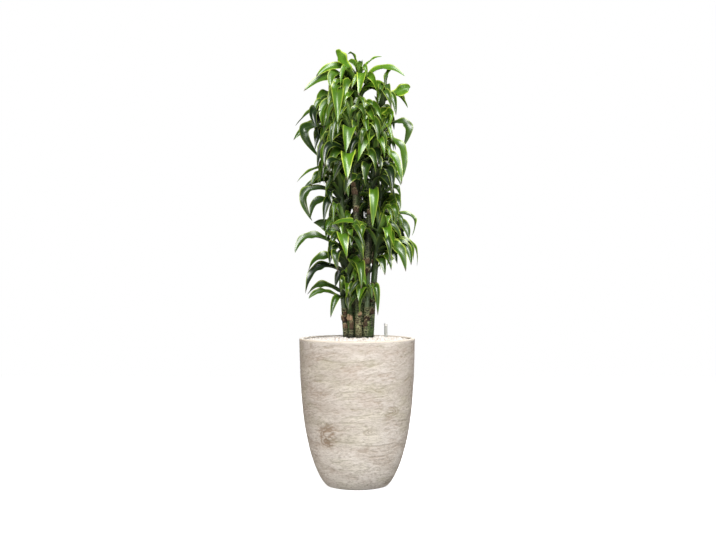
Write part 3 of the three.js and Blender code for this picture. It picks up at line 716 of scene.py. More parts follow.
papery, tree, shader = new_finish("papery_sheath", Specular_IOR_Level=0.25)
wrap = Shade.node(tree, "ShaderNodeUVMap", {"uv_map": "surface"})
height_share = wrap.axis("Y")
darkness = marked(tree, "darkness")
vein_place = {0: wrap.axis("X") * 24, 1: height_share * 2, 2: darkness * 40}
veins = noise(tree, Shade.node(tree, "ShaderNodeCombineXYZ", {}, vein_place))
sheath_colour = coats(
    darkness.between("#c4a888", "#2a1a10"),
    (veins.step(0.4, 0.62), darkness.between("#6d4c38", "#150d08")),
    (height_share.step(0.82, 1.0) * 0.75, "#b9ad84"),
    ((1 - height_share.step(0.0, 0.3)) * 0.8, "#1e170e"),
)
drive(shader, tree, Base_Color=sheath_colour, Roughness=0.7 + veins * 0.2)
drive(shader, tree, Normal=bump(tree, veins, 0.001, 0.7))
sheaths.data.materials.append(papery)
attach(sheaths, "root")


# ---------------------------------------------------------------- crowns
# Each cane ends in a green stem top wrapped in leaf bases, with a rolled bud, and a crown of arching
# blades with lime margins. Old blades are long, dark and drooping, young ones short and bright.
BUD_LENGTH = 46.0
STEM_RADII = (9.6, 9.2, 5.0, 0.6)  # at the stem's foot, near its top, amid the bud and at its point
LEAF_BASE_STEP = 7.5
BLADE_THICKNESS = 0.9
BLADE_POINT = 0.25  # half the width of a blade's finest point
CLASP_WIDTH = 0.42  # the share of its width that clasps the stem
LANCE_SKEW = 0.82  # below 1, the widest place lies before the blade's middle
LANCE_FULLNESS = 0.74  # below 1, the blade's edges run fuller than a sine
TROUGH_DEPTHS = (0.34, 0.6)  # how deep a blade is folded, at least and at most
FOOT_FOLD = 0.6  # and how much deeper where it clasps the stem
RIPPLE_DEPTHS = (0.07, 0.22)  # how deep its margins ripple
RIPPLE_COUNTS = (2.0, 3.8)  # and how many ripples there are
# The ways in which a leaf may be bent clear of its neighbours in the solid crown.
SWINGS = (0, 7, -7, 14, -14, 21, -21, 30, -30, 40, -40, 52, -52)
LIFTS = (0, 12, -12, 26, -26, 42)
SHORTER = (1, 0.85, 0.7)
SAME_PLACE = 0.3  # millimetres within which two points count as one
# The leaves that show in the plant's outline or in front, by crown: root height, tip x y z, crest
# height, how far the bow swings out, width and twist.
PLACED_LEAVES = {
    "A": (
        (1388, (-72, -45, 1489), 1490, 0.8, 52, -80),
        (1420, (-34, 18, 1494), 1500, 0.2, 24, 20),
        (1400, (-142, -30, 1408), 1450, 0.5, 36, -50),
        (1372, (-184, -20, 1360), 1418, 0.5, 48, -50),
        (1350, (-118, 40, 1336), 1368, 0.7, 30, -45),
        (1418, (86, 10, 1484), 1485, 0.45, 22, 15),
        (1392, (166, -12, 1412), 1448, 0.5, 40, 40),
        (1396, (5, -114, 1330), 1424, 0.7, 36, 16),
        (1370, (-40, -104, 1300), 1392, 0.9, 30, -50),
        (1390, (70, -84, 1340), 1414, 0.7, 26, 66),
        (1410, (16, -34, 1460), 1466, 0.3, 20, 12),
        (1394, (-30, -60, 1456), 1458, 0.3, 34, -74),
        (1380, (-96, -70, 1282), 1394, 0.9, 32, -52),
        (1354, (126, -80, 1326), 1384, 0.5, 34, 62),
        (1352, (70, -62, 1353), 1374, 0.6, 30, 44),
        (1326, (-70, -90, 1262), 1340, 0.8, 30, -56),
        (1296, (84, -84, 1250), 1314, 0.8, 30, 54),
        (1300, (-64, -98, 1252), 1322, 0.7, 26, -62),
        (1276, (62, -104, 1232), 1298, 0.7, 28, 60),
        (1262, (36, -116, 1200), 1280, 0.8, 32, 20),
    ),
    "B": (
        (1366, (125, -6, 1438), 1439, 0.05, 24, 40),
        (1336, (182, -18, 1371), 1372, 0.95, 42, 84),
        (1340, (175, -12, 1303), 1360, 0.72, 44, 42),
        (1322, (133, -52, 1272), 1350, 0.9, 28, 35),
        (1246, (158, -30, 1166), 1259, 1.78, 40, 46),
        (1290, (130, 60, 1236), 1306, 0.8, 28, 45),
    ),
    "C": (
        (1362, (-139, 5, 1320), 1362, 0.75, 32, -50),
        (1316, (-214, -6, 1241), 1311, 0.58, 32, -36),
        (1262, (-220, -4, 1193), 1250, 0.6, 32, -48),
        (1238, (-128, -45, 1128), 1242, 3.05, 37, -50),
        (1348, (-66, -132, 1238), 1376, 0.95, 48, 8),
        (1226, (-146, -30, 1150), 1240, 0.8, 28, -50),
    ),
    "D": (
        (1189, (157, -50, 1060), 1195, 1.32, 36, 42),
        (1142, (152, -60, 1036), 1152, 0.9, 34, 40),
        (1196, (2, -134, 1106), 1214, 0.6, 46, -30),
        (1022, (52, -100, 888), 1024, 1.5, 34, 30),
        (1215, (40, -140, 1146), 1240, 0.8, 32, 24),
        (1210, (119, -124, 1276), 1280, 0.5, 44, 84),
        (1056, (148, -84, 1030), 1078, 0.8, 32, 44),
        (1130, (-6, -128, 1094), 1150, 0.7, 28, -60),
        (1098, (28, -130, 1022), 1112, 0.9, 36, -16),
        (1052, (102, -92, 1006), 1064, 0.85, 38, 20),
        (1046, (-4, -104, 1040), 1066, 0.7, 22, -62),
    ),
    "E": (
        (1205, (-38, -150, 1132), 1232, 0.85, 46, -8),
        (1112, (-33, -160, 1040), 1146, 0.85, 50, 10),
        (1196, (-104, -104, 1142), 1216, 0.8, 32, -56),
        (1160, (38, -130, 1120), 1184, 0.8, 30, 56),
        (1140, (-92, -116, 1072), 1156, 0.8, 32, -56),
        (1108, (-80, -108, 1052), 1126, 0.7, 26, -64),
    ),
    "F": (
        (1098, (-208, -20, 1046), 1104, 0.62, 26, -26),
        (1022, (-154, -40, 912), 1030, 2.0, 34, -54),
        (976, (-158, -54, 924), 990, 0.95, 34, -44),
        (985, (-112, -92, 905), 996, 1.0, 30, -40),
        (1074, (-156, -36, 1034), 1084, 0.8, 34, -44),
        (1048, (-182, -28, 1026), 1058, 0.6, 30, -48),
    ),
    "G": (
        (1012, (152, 8, 990), 1038, 0.85, 30, 42),
        (944, (146, -84, 996), 997, 0.4, 38, 76),
        (940, (190, 10, 862), 947, 1.46, 24, 36),
        (910, (177, -14, 850), 917, 1.0, 36, 52),
        (985, (148, -20, 946), 1002, 0.9, 36, 50),
    ),
    "H": (
        (824, (-149, -60, 905), 906, 0.5, 46, -84),
        (816, (-212, -60, 802), 866, 0.85, 40, -34),
        (764, (-168, -72, 738), 795, 0.75, 42, -50),
        (740, (-175, -86, 664), 764, 0.85, 40, -46),
        (848, (-34, -160, 780), 874, 0.85, 44, 5),
        (846, (23, -160, 772), 868, 0.85, 50, -5),
        (782, (31, -136, 694), 792, 0.3, 44, 24),
        (724, (-74, -60, 686), 738, 0.8, 30, -60),
        (876, (12, -116, 862), 906, 0.7, 32, 40),
        (812, (-92, -112, 762), 832, 0.8, 34, -52),
    ),
    "I": (
        (868, (104, -118, 806), 896, 0.85, 32, 40),
        (838, (206, -20, 756), 853, 1.17, 24, 35),
        (842, (192, -50, 776), 852, 1.06, 40, 44),
        (812, (165, -86, 738), 836, 0.95, 46, 46),
        (826, (184, -64, 760), 845, 0.95, 34, 42),
        (775, (115, -110, 742), 800, 0.9, 32, 38),
        (768, (94, -104, 726), 790, 0.9, 32, 40),
        (800, (136, -88, 764), 822, 0.8, 34, 52),
        (744, (92, -64, 742), 770, 0.7, 24, 50),
        (878, (-84, -118, 896), 914, 0.55, 22, -52),
        (850, (126, -92, 812), 876, 0.7, 28, 54),
    ),
    "J": (
        (674, (-170, -40, 660), 697, 0.7, 42, -42),
        (652, (-165, -66, 646), 675, 0.7, 26, -30),
        (646, (-90, -70, 582), 656, 0.75, 26, -36),
        (680, (-36, -110, 646), 712, 0.8, 44, -56),
        (664, (-6, -100, 648), 700, 0.7, 38, 40),
    ),
    "M": (
        (668, (50, -88, 644), 698, 0.9, 18, 24),
        (640, (70, -94, 590), 694, 1.05, 28, 36),
        (652, (6, -108, 590), 672, 0.9, 30, 10),
        (662, (6, -116, 640), 698, 0.7, 42, -50),
    ),
}
# The bright ones among them: their crowns and root heights.
LIME_LEAVES = {
    "A": (1388, 1392, 1400),
    "B": (1336,),
    "D": (1022, 1196, 1210, 1215),
    "E": (1112,),
    "H": (782,),
    "J": (680,),
    "M": (662,),
}
LIME_TONE = 0.08
YOUNG_TOP = 0.45  # the share of their age's dark tone that the tallest crown's leaves have
# The plant's body between those leaves as seen from the front: height, left edge and right edge.
BODY_EDGES = (
    (640, -52, 52),
    (715, -74, 56),
    (740, -78, 100),
    (782, -94, 142),
    (815, -101, 160),
    (860, -108, 172),
    (900, -114, 170),
    (940, -122, 154),
    (986, -136, 150),
    (1000, -124, 128),
    (1030, -112, 126),
    (1046, -150, 126),
    (1056, -154, 138),
    (1084, -158, 138),
    (1110, -137, 132),
    (1140, -139, 130),
    (1165, -140, 146),
    (1185, -158, 140),
    (1200, -160, 126),
    (1245, -166, 124),
    (1300, -158, 124),
    (1332, -142, 131),
    (1367, -100, 146),
    (1400, -115, 90),
    (1436, -105, 52),
    (1471, -59, 40),
)
BODY_TOP = 1447
BODY_DEPTH = 172
# Where light or bare canes show through the body from the front: x, height, radius and the depth behind
# which leaves may pass.
OPENINGS = (
    (79, 1405, 15, 200),
    (128, 1402, 12, 200),
    (42, 1344, 18, 200),
    (150, 1218, 26, 200),
    (141, 1131, 15, 200),
    (-124, 1021, 14, 200),
    (-112, 965, 14, 200),
    (-112, 928, 10, 200),
    (-115, 831, 12, 200),
    (0, 1016, 12, -25),
    (0, 980, 12, -25),
    (0, 946, 12, -25),
    (41, 845, 15, 0),
    (42, 800, 15, 0),
    (42, 755, 15, 0),
    (43, 712, 14, 0),
    (43, 672, 12, 0),
)
STEM_CLEARANCE = 10  # how near a blade's edge may come to the middle of another stem
SIDESTEPS = (0, 25, -25, 50, -50)  # how far a leaf is swung to lie clear
ASIDE = (50, -50, 75, -75)  # and how far one that points at the viewer, which is lifted too
ASIDE_LIFT = 12
FILLERS = 18  # how many more leaves are tried in order to fill a crown than it has by rule
FULL_FILLERS = 22  # and how many more in the full crowns
FULL_CROWNS = "KLNE"
TALLEST = "A"
# The sides to which the added leaves lie in turn: bearing, and how far it is spread.
FILLER_SIDES = ((-1, -60), (177, -60), (-177, 60), (3, 60))
FILLER_SHARES = (0.92, 0.74, 0.58)
# From the youngest leaf of a crown to its oldest: how far it reaches, falls, rises and bows, and its
# width.
REACHES, FALLS, RISES, BOWS, WIDTHS = (46, 122), (56, -88), (80, 32), (0.45, 0.92), (19, 41)
# What each draw of a number decides.
TONE, LUCK, TIP_TWIST, TWIST, FILLER_HOOK, FILLER_SWAY, HOOK, SWAY, SLIM, FILLER_SLIM = range(31, 41)
SIDE, CREST, TIP_LIFT = range(41, 44)
RIPPLE_DEPTH, RIPPLE_COUNT, RIPPLE_START, TROUGH = range(21, 25)


def draw(n, k):
    """A repeatable number from 0 to 1: the fraction of a large multiple of a sine of n and k."""
    wave = math.sin(n * 12.9898 + k * 78.233) * 43758.5453
    return wave - math.floor(wave)


def blend(a, b, t):
    """a plus t times the way from a to b."""
    return a + (b - a) * t


def leaf_by_rule(name, seed, k):
    """Leaf k of a crown: the golden angle round the stem, lower, longer and more drooping with age,
    with each value varied by its own draw, and with its face turned to the light in front."""
    _, (_, _, top), leafy, leaves, _, size = CANES[name]
    age = (k + 0.6) / leaves

    def vary(slot, by):
        return (draw(seed + k, slot) - 0.5) * 2 * by

    root_z = top - leafy * age
    x, y = stem_centre(name, root_z)
    bearing = math.radians(seed * 61 + k * GOLDEN_ANGLE + vary(1, 14))
    reach = size * (blend(*REACHES, math.sqrt(age)) + vary(2, 14))
    fall = size * (blend(*FALLS, age**0.8) + vary(3, 22))
    rise = max(size * blend(*RISES, age), fall + 6) + vary(4, 8)
    return {
        "root": np.array([x, y, root_z]),
        "tip": np.array([x + reach * math.cos(bearing), y + reach * math.sin(bearing), root_z + fall]),
        "crest": root_z + rise,
        "bow": blend(*BOWS, age) + vary(5, 0.1),
        "width": size * (blend(*WIDTHS, math.sqrt(age)) + vary(6, 4)),
        "twist": 46 * math.cos(bearing) + vary(7, 24),
        "age": age,
    }


def leaf_as_placed(name, root_z, tip, crest, bow, width, twist):
    """The leaf of a row of PLACED_LEAVES. Its age is the share of the leafy length above its root, and
    it is bright if LIME_LEAVES names it."""
    x, y = stem_centre(name, root_z)
    return {
        "root": np.array([x, y, root_z]),
        "tip": np.array(tip, float),
        "crest": crest,
        "bow": bow,
        "width": width,
        "twist": twist,
        "age": (stem_top(name) - root_z) / CANES[name][2],
        "lime": root_z in LIME_LEAVES.get(name, ()),
    }


def bent_leaf(leaf, swing, lift, share):
    """The leaf swung round its stem, raised by lift and shortened to share of its size."""
    turn = math.radians(swing)
    c, s = math.cos(turn) * share, math.sin(turn) * share
    dx, dy, dz = leaf["tip"] - leaf["root"]
    x0, y0, z0 = leaf["root"]
    return {
        **leaf,
        "tip": np.array([x0 + c * dx - s * dy, y0 + s * dx + c * dy, z0 + dz * share + lift]),
        "crest": z0 + (leaf["crest"] - z0) * share + max(0, lift),
        "width": leaf["width"] * (0.4 + 0.6 * share),
    }


def as_grown(leaf, corners):
    """The way in which the leaf is bent in the solid crown: the one whose tip is one of its corners.
    None if the crown has no such leaf."""
    bends = [(swing, lift, share) for share in SHORTER for lift in LIFTS for swing in SWINGS]
    ways = [bent_leaf(leaf, *bend) for bend in bends]
    tips = np.array([way["tip"] for way in ways])
    apart = np.linalg.norm(tips[:, None, :] - corners[None, :, :], axis=2).min(axis=1)
    return ways[int(apart.argmin())] if apart.min() < SAME_PLACE else None


def blade_line(leaf, t):
    """The blade's centre line and its frame: the level way across and the way up from the face. In the
    upright plane through root and tip it is a cubic curve on four points. The two between lie where they
    make it a parabola with the crest's height, and the hook pushes the second one out, so that the tip
    turns in. The sway moves the middle sideways by a sine, and the blade turns about its line by the
    twist, mostly near the foot, and by the tip's own twist near its end."""
    root, tip = leaf["root"], leaf["tip"]
    reach = math.hypot(tip[0] - root[0], tip[1] - root[1])
    out = np.array([(tip[0] - root[0]) / reach, (tip[1] - root[1]) / reach, 0.0])
    side = np.array([-out[1], out[0], 0.0])
    fall = tip[2] - root[2]
    rise = max(leaf["crest"] - root[2], fall + 1, 4)
    climb = rise + math.sqrt(rise * rise - rise * fall)
    bow = leaf["bow"] * reach
    hook, sway = leaf.get("hook", 0.0) * reach, leaf.get("sway", 0.0) * reach
    second = [(reach + 2 * bow) / 3 + hook, (fall + 2 * climb) / 3]
    posts = np.array([[0, 0], [2 / 3 * bow, 2 / 3 * climb], second, [reach, fall]])
    weights = np.stack([(1 - t) ** 3, 3 * t * (1 - t) ** 2, 3 * t**2 * (1 - t), t**3], axis=1)
    slopes = np.stack([3 * (1 - t) ** 2, 6 * t * (1 - t), 3 * t**2], axis=1)
    axes = np.array([out, [0, 0, 1.0]])
    centre = root + weights @ posts @ axes + side * (sway * np.sin(np.pi * t))[:, None]
    ahead = slopes @ np.diff(posts, axis=0) @ axes + side * (sway * np.pi * np.cos(np.pi * t))[:, None]
    ahead /= np.linalg.norm(ahead, axis=1, keepdims=True)
    level = side - ahead * (ahead @ side)[:, None]
    level /= np.linalg.norm(level, axis=1, keepdims=True)
    up = np.cross(ahead, level)
    turn = np.radians(leaf["twist"] * (1 - (1 - t) ** 3) + leaf.get("tip_twist", 0.0) * t**3)
    across = level * np.cos(turn)[:, None] + up * np.sin(turn)[:, None]
    return centre, across, np.cross(ahead, across)


def blade_surface(leaf, seed, rows=26, half_columns=9):
    """A closed thin blade. Across it, from margin to margin, the face dips to the midrib in a shallow
    trough that closes round the stem at the foot, and the margins ripple. Its width is a clasping
    foot plus a lance shape that is widest before its middle."""
    t = np.linspace(0.0, 1.0, rows)[:, None] ** 0.92
    v = np.linspace(-1, 1, half_columns)[None, :]
    centre, across, up = (line[:, None] for line in blade_line(leaf, t[:, 0]))
    lance = np.sin(np.pi * np.minimum(t, 0.9995) ** LANCE_SKEW) ** LANCE_FULLNESS
    half = np.maximum(leaf["width"] / 2 * (CLASP_WIDTH * (1 - t) ** 9 + lance), BLADE_POINT)
    clasp = (1 - t) ** 7
    wave = 2 * np.pi * blend(*RIPPLE_COUNTS, draw(seed, RIPPLE_COUNT)) * t
    wave = wave + 6.28 * draw(seed, RIPPLE_START) + 1.9 * (v > 0)
    ripple = blend(*RIPPLE_DEPTHS, draw(seed, RIPPLE_DEPTH)) * np.sin(wave)
    trough = blend(*TROUGH_DEPTHS, draw(seed, TROUGH)) + FOOT_FOLD * clasp
    dip = trough * (np.abs(v) ** 1.35 - 1) + ripple * v**2 * np.sin(np.pi * t)
    face = centre + across * (half * v * (1 - 0.35 * clasp * np.abs(v)))[..., None]
    thick = BLADE_THICKNESS * (1 - 0.55 * np.abs(v)) * np.minimum(1, 4.2 * (1.02 - t))
    top = face + up * (half * dip + thick / 2)[..., None]
    under = face + up * (half * dip - thick / 2)[..., None]
    points = np.concatenate([top, under[:, ::-1]], axis=1)
    columns = 2 * half_columns
    uv = per_point(rows, columns, np.concatenate([v, v[:, ::-1]], axis=1) * 0.5 + 0.5, t)
    underside = np.broadcast_to(np.repeat([0.0, 1.0], half_columns), (rows, columns))
    faces = capped_rows(rows, columns)[:, ::-1]
    return points.reshape(-1, 3), faces, uv.reshape(-1, 2), underside.ravel()


def stem_surface(name, sides=14):
    """The leafy stem: rings round the centre line, with a step at every leaf base, that close to the
    bud's fine point."""
    start, top = cane_end(name), stem_top(name)
    bud_z = np.linspace(top, top + BUD_LENGTH, 14)
    z = np.concatenate([np.linspace(start, top - 6, 60), bud_z])[:, None]
    angle = full_turn(sides)[None, :]
    radius = np.interp(z, [start, top - 6, top + 0.45 * BUD_LENGTH, top + BUD_LENGTH], STEM_RADII)
    step = ((z / LEAF_BASE_STEP + angle / np.pi) % 1) * np.clip((top - z) / 20, 0, 1)
    points = rings(*stem_centre(name, z), z, radius * (1 - 0.09 * step), angle)
    uv = per_point(len(z), sides, 0.35 + 0.3 * angle / (2 * np.pi), 0.3)
    underside = np.full(uv[..., 0].size, 0.6)
    return points.reshape(-1, 3), capped_rows(len(z), sides), uv.reshape(-1, 2), underside


def keeps_clear(leaf, name):
    """Whether the blade stays within the plant's body, out of its openings, and further from every other
    stem than that stem's radius and most of a half width."""
    t = np.linspace(0.12, 1, 14)
    centre = blade_line(leaf, t)[0]
    x, y, z = centre.T
    half = leaf["width"] / 2 * np.sin(np.pi * t) ** 0.64
    heights, lefts, rights = np.array(BODY_EDGES, float).T
    beyond = (x - 0.6 * half < np.interp(z, heights, lefts)) | (np.abs(y) > BODY_DEPTH)
    beyond |= (x + 0.6 * half > np.interp(z, heights, rights)) | (z > BODY_TOP)
    if beyond.any():
        return False
    for gap_x, gap_z, radius, behind in OPENINGS:
        if ((np.hypot(x - gap_x, z - gap_z) < radius + 0.5 * half) & (y < behind)).any():
            return False
    for other in CANES:
        stem_x, stem_y = stem_centre(other, z)
        beside = (z < stem_top(other) + 20) & (other != name)
        if (beside & (np.hypot(x - stem_x, y - stem_y) < STEM_CLEARANCE + 0.6 * half)).any():
            return False
    return True


def laid_clear(leaf, name, n):
    """The leaf by rule, slimmer, hooked and swayed by its draws, and laid where it keeps clear. A leaf
    that points at the viewer is first laid to one side, as the lit ones in front are. None if it is
    in the way everywhere."""
    leaf["hook"] = 0.8 * draw(n, HOOK) ** 2
    leaf["sway"] = 0.5 * (draw(n, SWAY) - 0.5)
    leaf["width"] *= 0.68 + 0.3 * draw(n, SLIM)
    reach_x, reach_y, _ = leaf["tip"] - leaf["root"]
    ahead = reach_y < -1.1 * abs(reach_x)
    side = 1 if draw(n, SIDE) < 0.5 else -1
    for swing in (*(side * swing for swing in ASIDE), 25, -25) if ahead else SIDESTEPS:
        for share in SHORTER:
            laid = bent_leaf(leaf, swing, ASIDE_LIFT * ahead, share)
            if keeps_clear(laid, name):
                return laid
    return None


def raise_tip(leaf, share):
    """Lifts a hanging tip by a share of how far it hangs below its root."""
    leaf["tip"][2] += share * max(0.0, leaf["root"][2] - leaf["tip"][2])


def grown_leaves(name, seed, corners):
    """The leaves that the solid crown has too, with the placed ones first. Those by rule are laid clear
    and show their faces to the front."""
    leaves = []
    for row in PLACED_LEAVES.get(name, ()):
        leaf = leaf_as_placed(name, *row)
        leaves.append(as_grown(leaf, corners) or leaf)
    for k in range(CANES[name][4], CANES[name][3]):
        leaf = as_grown(leaf_by_rule(name, seed, k), corners)
        leaf = leaf and laid_clear(leaf, name, seed + k)
        if leaf:
            raise_tip(leaf, 0.15 + 0.5 * draw(seed + k, TIP_LIFT))
            reach_x, reach_y, _ = leaf["tip"] - leaf["root"]
            sideways = reach_x / math.hypot(reach_x, reach_y)
            leaf["twist"] = 60 * sideways + 50 * (draw(seed + k, TWIST) - 0.5)
            leaves.append(leaf)
    return leaves


def filler_leaves(name, seed):
    """Leaves that fill the crown between those that give it its shape. They lie out to both sides, more
    than towards the front and the back, and are shortened until they are clear."""
    by_rule = CANES[name][3]
    count = by_rule + (FULL_FILLERS if name in FULL_CROWNS else FILLERS)
    leaves = []
    for k in range(count):
        leaf = leaf_by_rule(name, seed + 700, k * by_rule / count)
        bearing = math.degrees(math.atan2(*(leaf["tip"] - leaf["root"])[1::-1]))
        first, spread = FILLER_SIDES[k % 4]
        wanted = first + spread * draw(seed, k)
        for share in FILLER_SHARES:
            filler = bent_leaf(leaf, wanted - bearing, 4, share * (0.95 + 0.3 * draw(seed + 3, k)))
            raise_tip(filler, 0.2 + 0.6 * draw(seed + k, TIP_LIFT))
            filler["crest"] += 18 * draw(seed + k, CREST)
            filler["hook"] = 0.9 * draw(seed + k, FILLER_HOOK) ** 2
            filler["sway"] = 0.6 * (draw(seed + k, FILLER_SWAY) - 0.5)
            filler["twist"] = 62 * math.cos(math.radians(wanted)) + 50 * (draw(seed + k, TWIST) - 0.5)
            filler["width"] *= 0.65 + 0.35 * draw(seed + k, FILLER_SLIM)
            if keeps_clear(filler, name):
                leaves.append(filler)
                break
    return leaves


leaf_finish, tree, shader = new_finish("lime_edged_leaf", Specular_IOR_Level=0.92)
blade_uv = Shade.node(tree, "ShaderNodeUVMap", {"uv_map": "surface"})
across_blade, along_blade = blade_uv.axis("X"), blade_uv.axis("Y")
leaf_tone, leaf_luck = marked(tree, "leaf_tone"), marked(tree, "leaf_luck")
underside = marked(tree, "underside")
fibre_place = {0: across_blade * 26, 1: along_blade * 1.6, 2: leaf_luck * 90}
fibres = noise(tree, Shade.node(tree, "ShaderNodeCombineXYZ", {}, fibre_place), rough=0.6)
clouds = noise(tree, (28, 28, 28))
from_midrib = abs(across_blade * 2 - 1)
margin = (from_midrib + (fibres - 0.5) * 0.14).step(0.76, 0.9)
margin = margin * (0.38 + 0.6 * leaf_luck) * (0.95 - underside * 0.35) * (0.8 + 0.5 * clouds)
# The foot of each blade, near its stem, is painted near black: painted shade inside the crown. It is
# made rougher too.
foot = 1 - along_blade.step(0.0, 0.34)
dry = (along_blade + (fibres - 0.5) * 0.05).step(0.94, 0.98) * leaf_luck.step(0.5, 0.6)
blade_colour = coats(
    leaf_tone.between("#4a7a11", "#091905"),
    (fibres.step(0.35, 0.7) * 0.4, leaf_tone.between("#86ae22", "#224512")),
    (clouds.step(0.45, 0.7) * 0.3, "#0e220b"),
    ((1 - from_midrib.step(0.0, 0.08)) * 0.25, "#5c7f2c"),
    (margin, leaf_tone.between("#c6da4c", "#84993a")),
    (underside * 0.45, leaf_tone.between("#74a02a", "#445a2c")),
    (foot * 0.65, "#0c1c08"),
    (dry * 0.85, "#4a3320"),
)
leaf_roughness = 0.33 + underside * 0.16 + (clouds - 0.5) * 0.14 + dry * 0.25 + foot * 0.3
drive(shader, tree, Base_Color=blade_colour, Roughness=leaf_roughness)
drive(shader, tree, Normal=bump(tree, fibres, 0.0004, 0.3))

for index, name in enumerate(CANES):
    solid_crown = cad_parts[f"crown_{name}"]
    corners = np.array([vertex.co for vertex in solid_crown.data.vertices]) * 1000
    seed = 1 + index * 50
    parts, tones, lucks = [stem_surface(name)], [0.9], [0.5]
    for number, leaf in enumerate(grown_leaves(name, seed, corners) + filler_leaves(name, seed)):
        leaf.setdefault("sway", 0.2 * (draw(seed + number, SWAY) - 0.5))
        leaf["tip_twist"] = 150 * (draw(seed + number, TIP_TWIST) - 0.5)
        tone = 0.14 + 0.85 * leaf["age"] ** 0.7 + 0.7 * (draw(seed + number, TONE) - 0.5)
        tone = min(1.0, max(0.0, tone)) * (YOUNG_TOP if name == TALLEST else 1)
        parts.append(blade_surface(leaf, seed + number))
        tones.append(LIME_TONE if leaf.get("lime") else tone)
        lucks.append(draw(seed + number, LUCK))
    crown = skin(f"leaves_{name}", *joined(parts))
    crown.data.set_sharp_from_angle(angle=math.radians(55))
    mark(crown, "underside", np.concatenate([part[3] for part in parts]))
    mark(crown, "leaf_tone", spread_over(parts, tones))
    mark(crown, "leaf_luck", spread_over(parts, lucks))
    crown.data.materials.append(leaf_finish)
    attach(crown, "root")
    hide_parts(f"crown_{name}")


# ---------------------------------------------------------------- water gauge
# A clear tube with a float chamber at its buried foot and a push-on cap. The float's rod shows in the
# tube how high the water stands.
GAUGE_TOP = 556.0
GAUGE_FOOT = 100.0
GAUGE_RADIUS = 5.6
GAUGE_WALL = 1.2
CHAMBER_RADIUS = 13.0
CHAMBER_HEIGHT = 74.0
CHAMBER_LIP = 3.0
CAP_HEIGHT = 9.0
GAUGE_SIDES = 40


def turned(name, outline):
    """A solid of revolution: each outline point (r, z) runs round the gauge's upright axis as
    (r cos a, r sin a, z). Where the outline ends on the axis, the points of that row are merged."""
    points = rings(*GAUGE_PLACE, outline[:, 1:2], outline[:, 0:1], full_turn(GAUGE_SIDES))
    piece = skin(name, points, closed_rows(len(outline), GAUGE_SIDES))
    close_poles(piece)
    return piece


shoulder = GAUGE_FOOT + CHAMBER_HEIGHT
tube_top = GAUGE_TOP - CAP_HEIGHT
bore = GAUGE_RADIUS - GAUGE_WALL
chamber_bore = CHAMBER_RADIUS - GAUGE_WALL
tube_outline = np.array(
    [
        [chamber_bore - CHAMBER_LIP, GAUGE_FOOT],
        [CHAMBER_RADIUS, GAUGE_FOOT],
        [CHAMBER_RADIUS, shoulder],
        [GAUGE_RADIUS, shoulder + 8],
        [GAUGE_RADIUS, tube_top],
        [bore, tube_top],
        [bore, shoulder + 6],
        [chamber_bore, shoulder - 2],
        [chamber_bore, GAUGE_FOOT + 2],
        [chamber_bore - CHAMBER_LIP, GAUGE_FOOT + 2],
        [chamber_bore - CHAMBER_LIP, GAUGE_FOOT],
    ]
)
tube = turned("gauge_tube_clear", tube_outline)
tube.data.set_sharp_from_angle(angle=math.radians(35))
cap_low = tube_top + TOUCH_GAP
cap_outline = np.concatenate(
    [
        [[0, cap_low], [GAUGE_RADIUS + 0.6, cap_low]],
        round_corner(GAUGE_RADIUS - 1.4, GAUGE_TOP - 2, 2.0, 0, 90, 6),
        [[0, GAUGE_TOP]],
    ]
)
cap = turned("gauge_cap_white", cap_outline)
cap.data.set_sharp_from_angle(angle=math.radians(50))


def plastic(name, scale, first, second, **constants):
    """A plastic whose colour wanders a little between two, by noise. Returns its material, tree, shader
    and noise."""
    finish, tree, shader = new_finish(name, **constants)
    haze = noise(tree, scale, detail=2.0)
    drive(shader, tree, Base_Color=haze.between(first, second))
    return finish, tree, shader, haze


clear_look = {"Roughness": 0.2, "Transmission_Weight": 0.45, "IOR": 1.46}
clear_plastic, *_ = plastic("clear_plastic", (60, 60, 30), "#d6d9d4", "#e4e6e2", **clear_look)
red_plastic, *_ = plastic("red_plastic", (120, 120, 120), "#b3241c", "#c93a2f", Roughness=0.45)
white_plastic, tree, shader, haze = plastic(
    "white_plastic", (200, 200, 200), "#d2d2ce", "#e0e0dc", Roughness=0.4
)
drive(shader, tree, Normal=bump(tree, haze, 0.0002, 0.4))
for piece, node, slot, finish in (
    (tube, "gauge_tube", "clear_plastic", clear_plastic),
    (cap, "gauge_cap", "white_plastic", white_plastic),
):
    piece.data.materials.append(finish)
    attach(piece, "root")
    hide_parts(node)
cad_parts["gauge_float"].data.materials.clear()
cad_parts["gauge_float"].data.materials.append(red_plastic)


# ---------------------------------------------------------------- floor and light
# A plain pale floor, a large soft light above the camera, a smaller one high on the right, weak ones
# near the floor for the planter, one behind and an even white surround.
WARM = (1, 0.9, 0.8)
FLOOR_CORNERS = [(-5, -5, 0), (5, -5, 0), (5, 4, 0), (-5, 4, 0)]

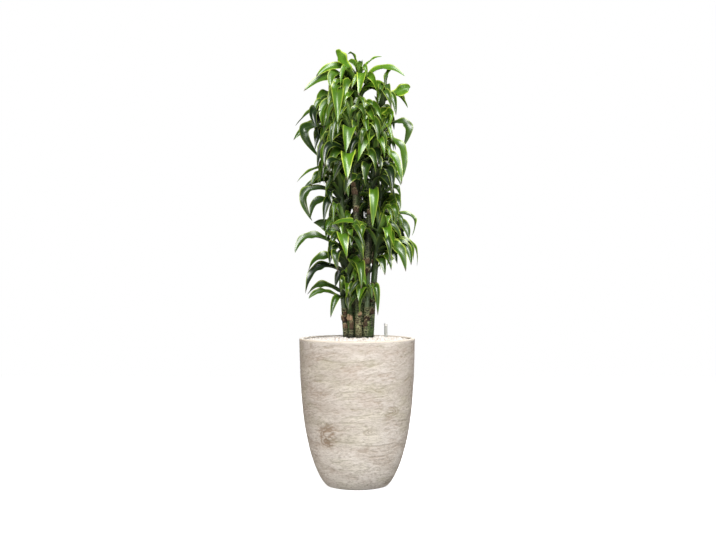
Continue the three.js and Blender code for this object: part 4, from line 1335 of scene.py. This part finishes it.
floor_mesh = bpy.data.meshes.new("studio_floor")
floor_mesh.from_pydata(FLOOR_CORNERS, [], [(0, 1, 2, 3)])
floor = bpy.data.objects.new("studio_floor", floor_mesh)
bpy.context.scene.collection.objects.link(floor)
pale_look = {"Base_Color": (0.8, 0.8, 0.8, 1), "Emission_Color": (1, 1, 1, 1), "Emission_Strength": 0.8}
pale, *_ = new_finish("pale_floor", Roughness=0.9, Specular_IOR_Level=0.1, **pale_look)
floor_mesh.materials.append(pale)
floor.visible_diffuse = False
floor.visible_glossy = False


def soft_light(name, place, target, size, power, colour=(1, 1, 1)):
    """A square area light of one colour at place that faces target."""
    data = bpy.data.lights.new(name, "AREA")
    data.size = size
    data.energy = power
    data.color = colour
    lamp = bpy.data.objects.new(name, data)
    lamp.location = place
    x, y, z = np.array(target, float) - np.array(place, float)
    lamp.rotation_euler = (math.atan2(math.hypot(x, y), -z), 0.0, math.atan2(-x, y))
    bpy.context.scene.collection.objects.link(lamp)


soft_light("key_light", (0.15, -2.9, 2.8), (0, 0, 0.75), 1.5, 108)
soft_light("top_light", (0.9, -1.6, 3.2), (0, 0, 1.2), 1.0, 50)
soft_light("low_light", (0.2, -2.1, 0.08), (0, 0, 0), 0.8, 14)
soft_light("left_light", (-2.3, -1.1, 0.25), (0, 0, 0.15), 1.0, 25, WARM)
soft_light("right_light", (2.3, -1.1, 0.25), (0, 0, 0.15), 1.0, 15, WARM)
soft_light("back_light", (0.4, 3.0, 2.0), (0, 0, 0.7), 2.0, 58)

# The camera sees pure white behind the plant. Dull surfaces are lit by less of it, and gloss mirrors
# less still, as in a studio whose walls are far away.
world = bpy.data.worlds.new("white_surround")
bpy.context.scene.world = world
world.use_nodes = True
surround = world.node_tree
strength = Shade.node(surround, "ShaderNodeLightPath", out="Is Camera Ray")
for ray, share in (("Is Transmission Ray", 0.8), ("Is Diffuse Ray", 0.17), ("Is Glossy Ray", 0.14)):
    strength = strength + Shade.node(surround, "ShaderNodeLightPath", out=ray) * share
surround.nodes["Background"].inputs["Color"].default_value = (1.0, 1.0, 1.0, 1)
surround.links.new(strength.socket, surround.nodes["Background"].inputs["Strength"])
bpy.context.scene.view_settings.view_transform = "Standard"
bpy.context.scene.view_settings.look = "None"
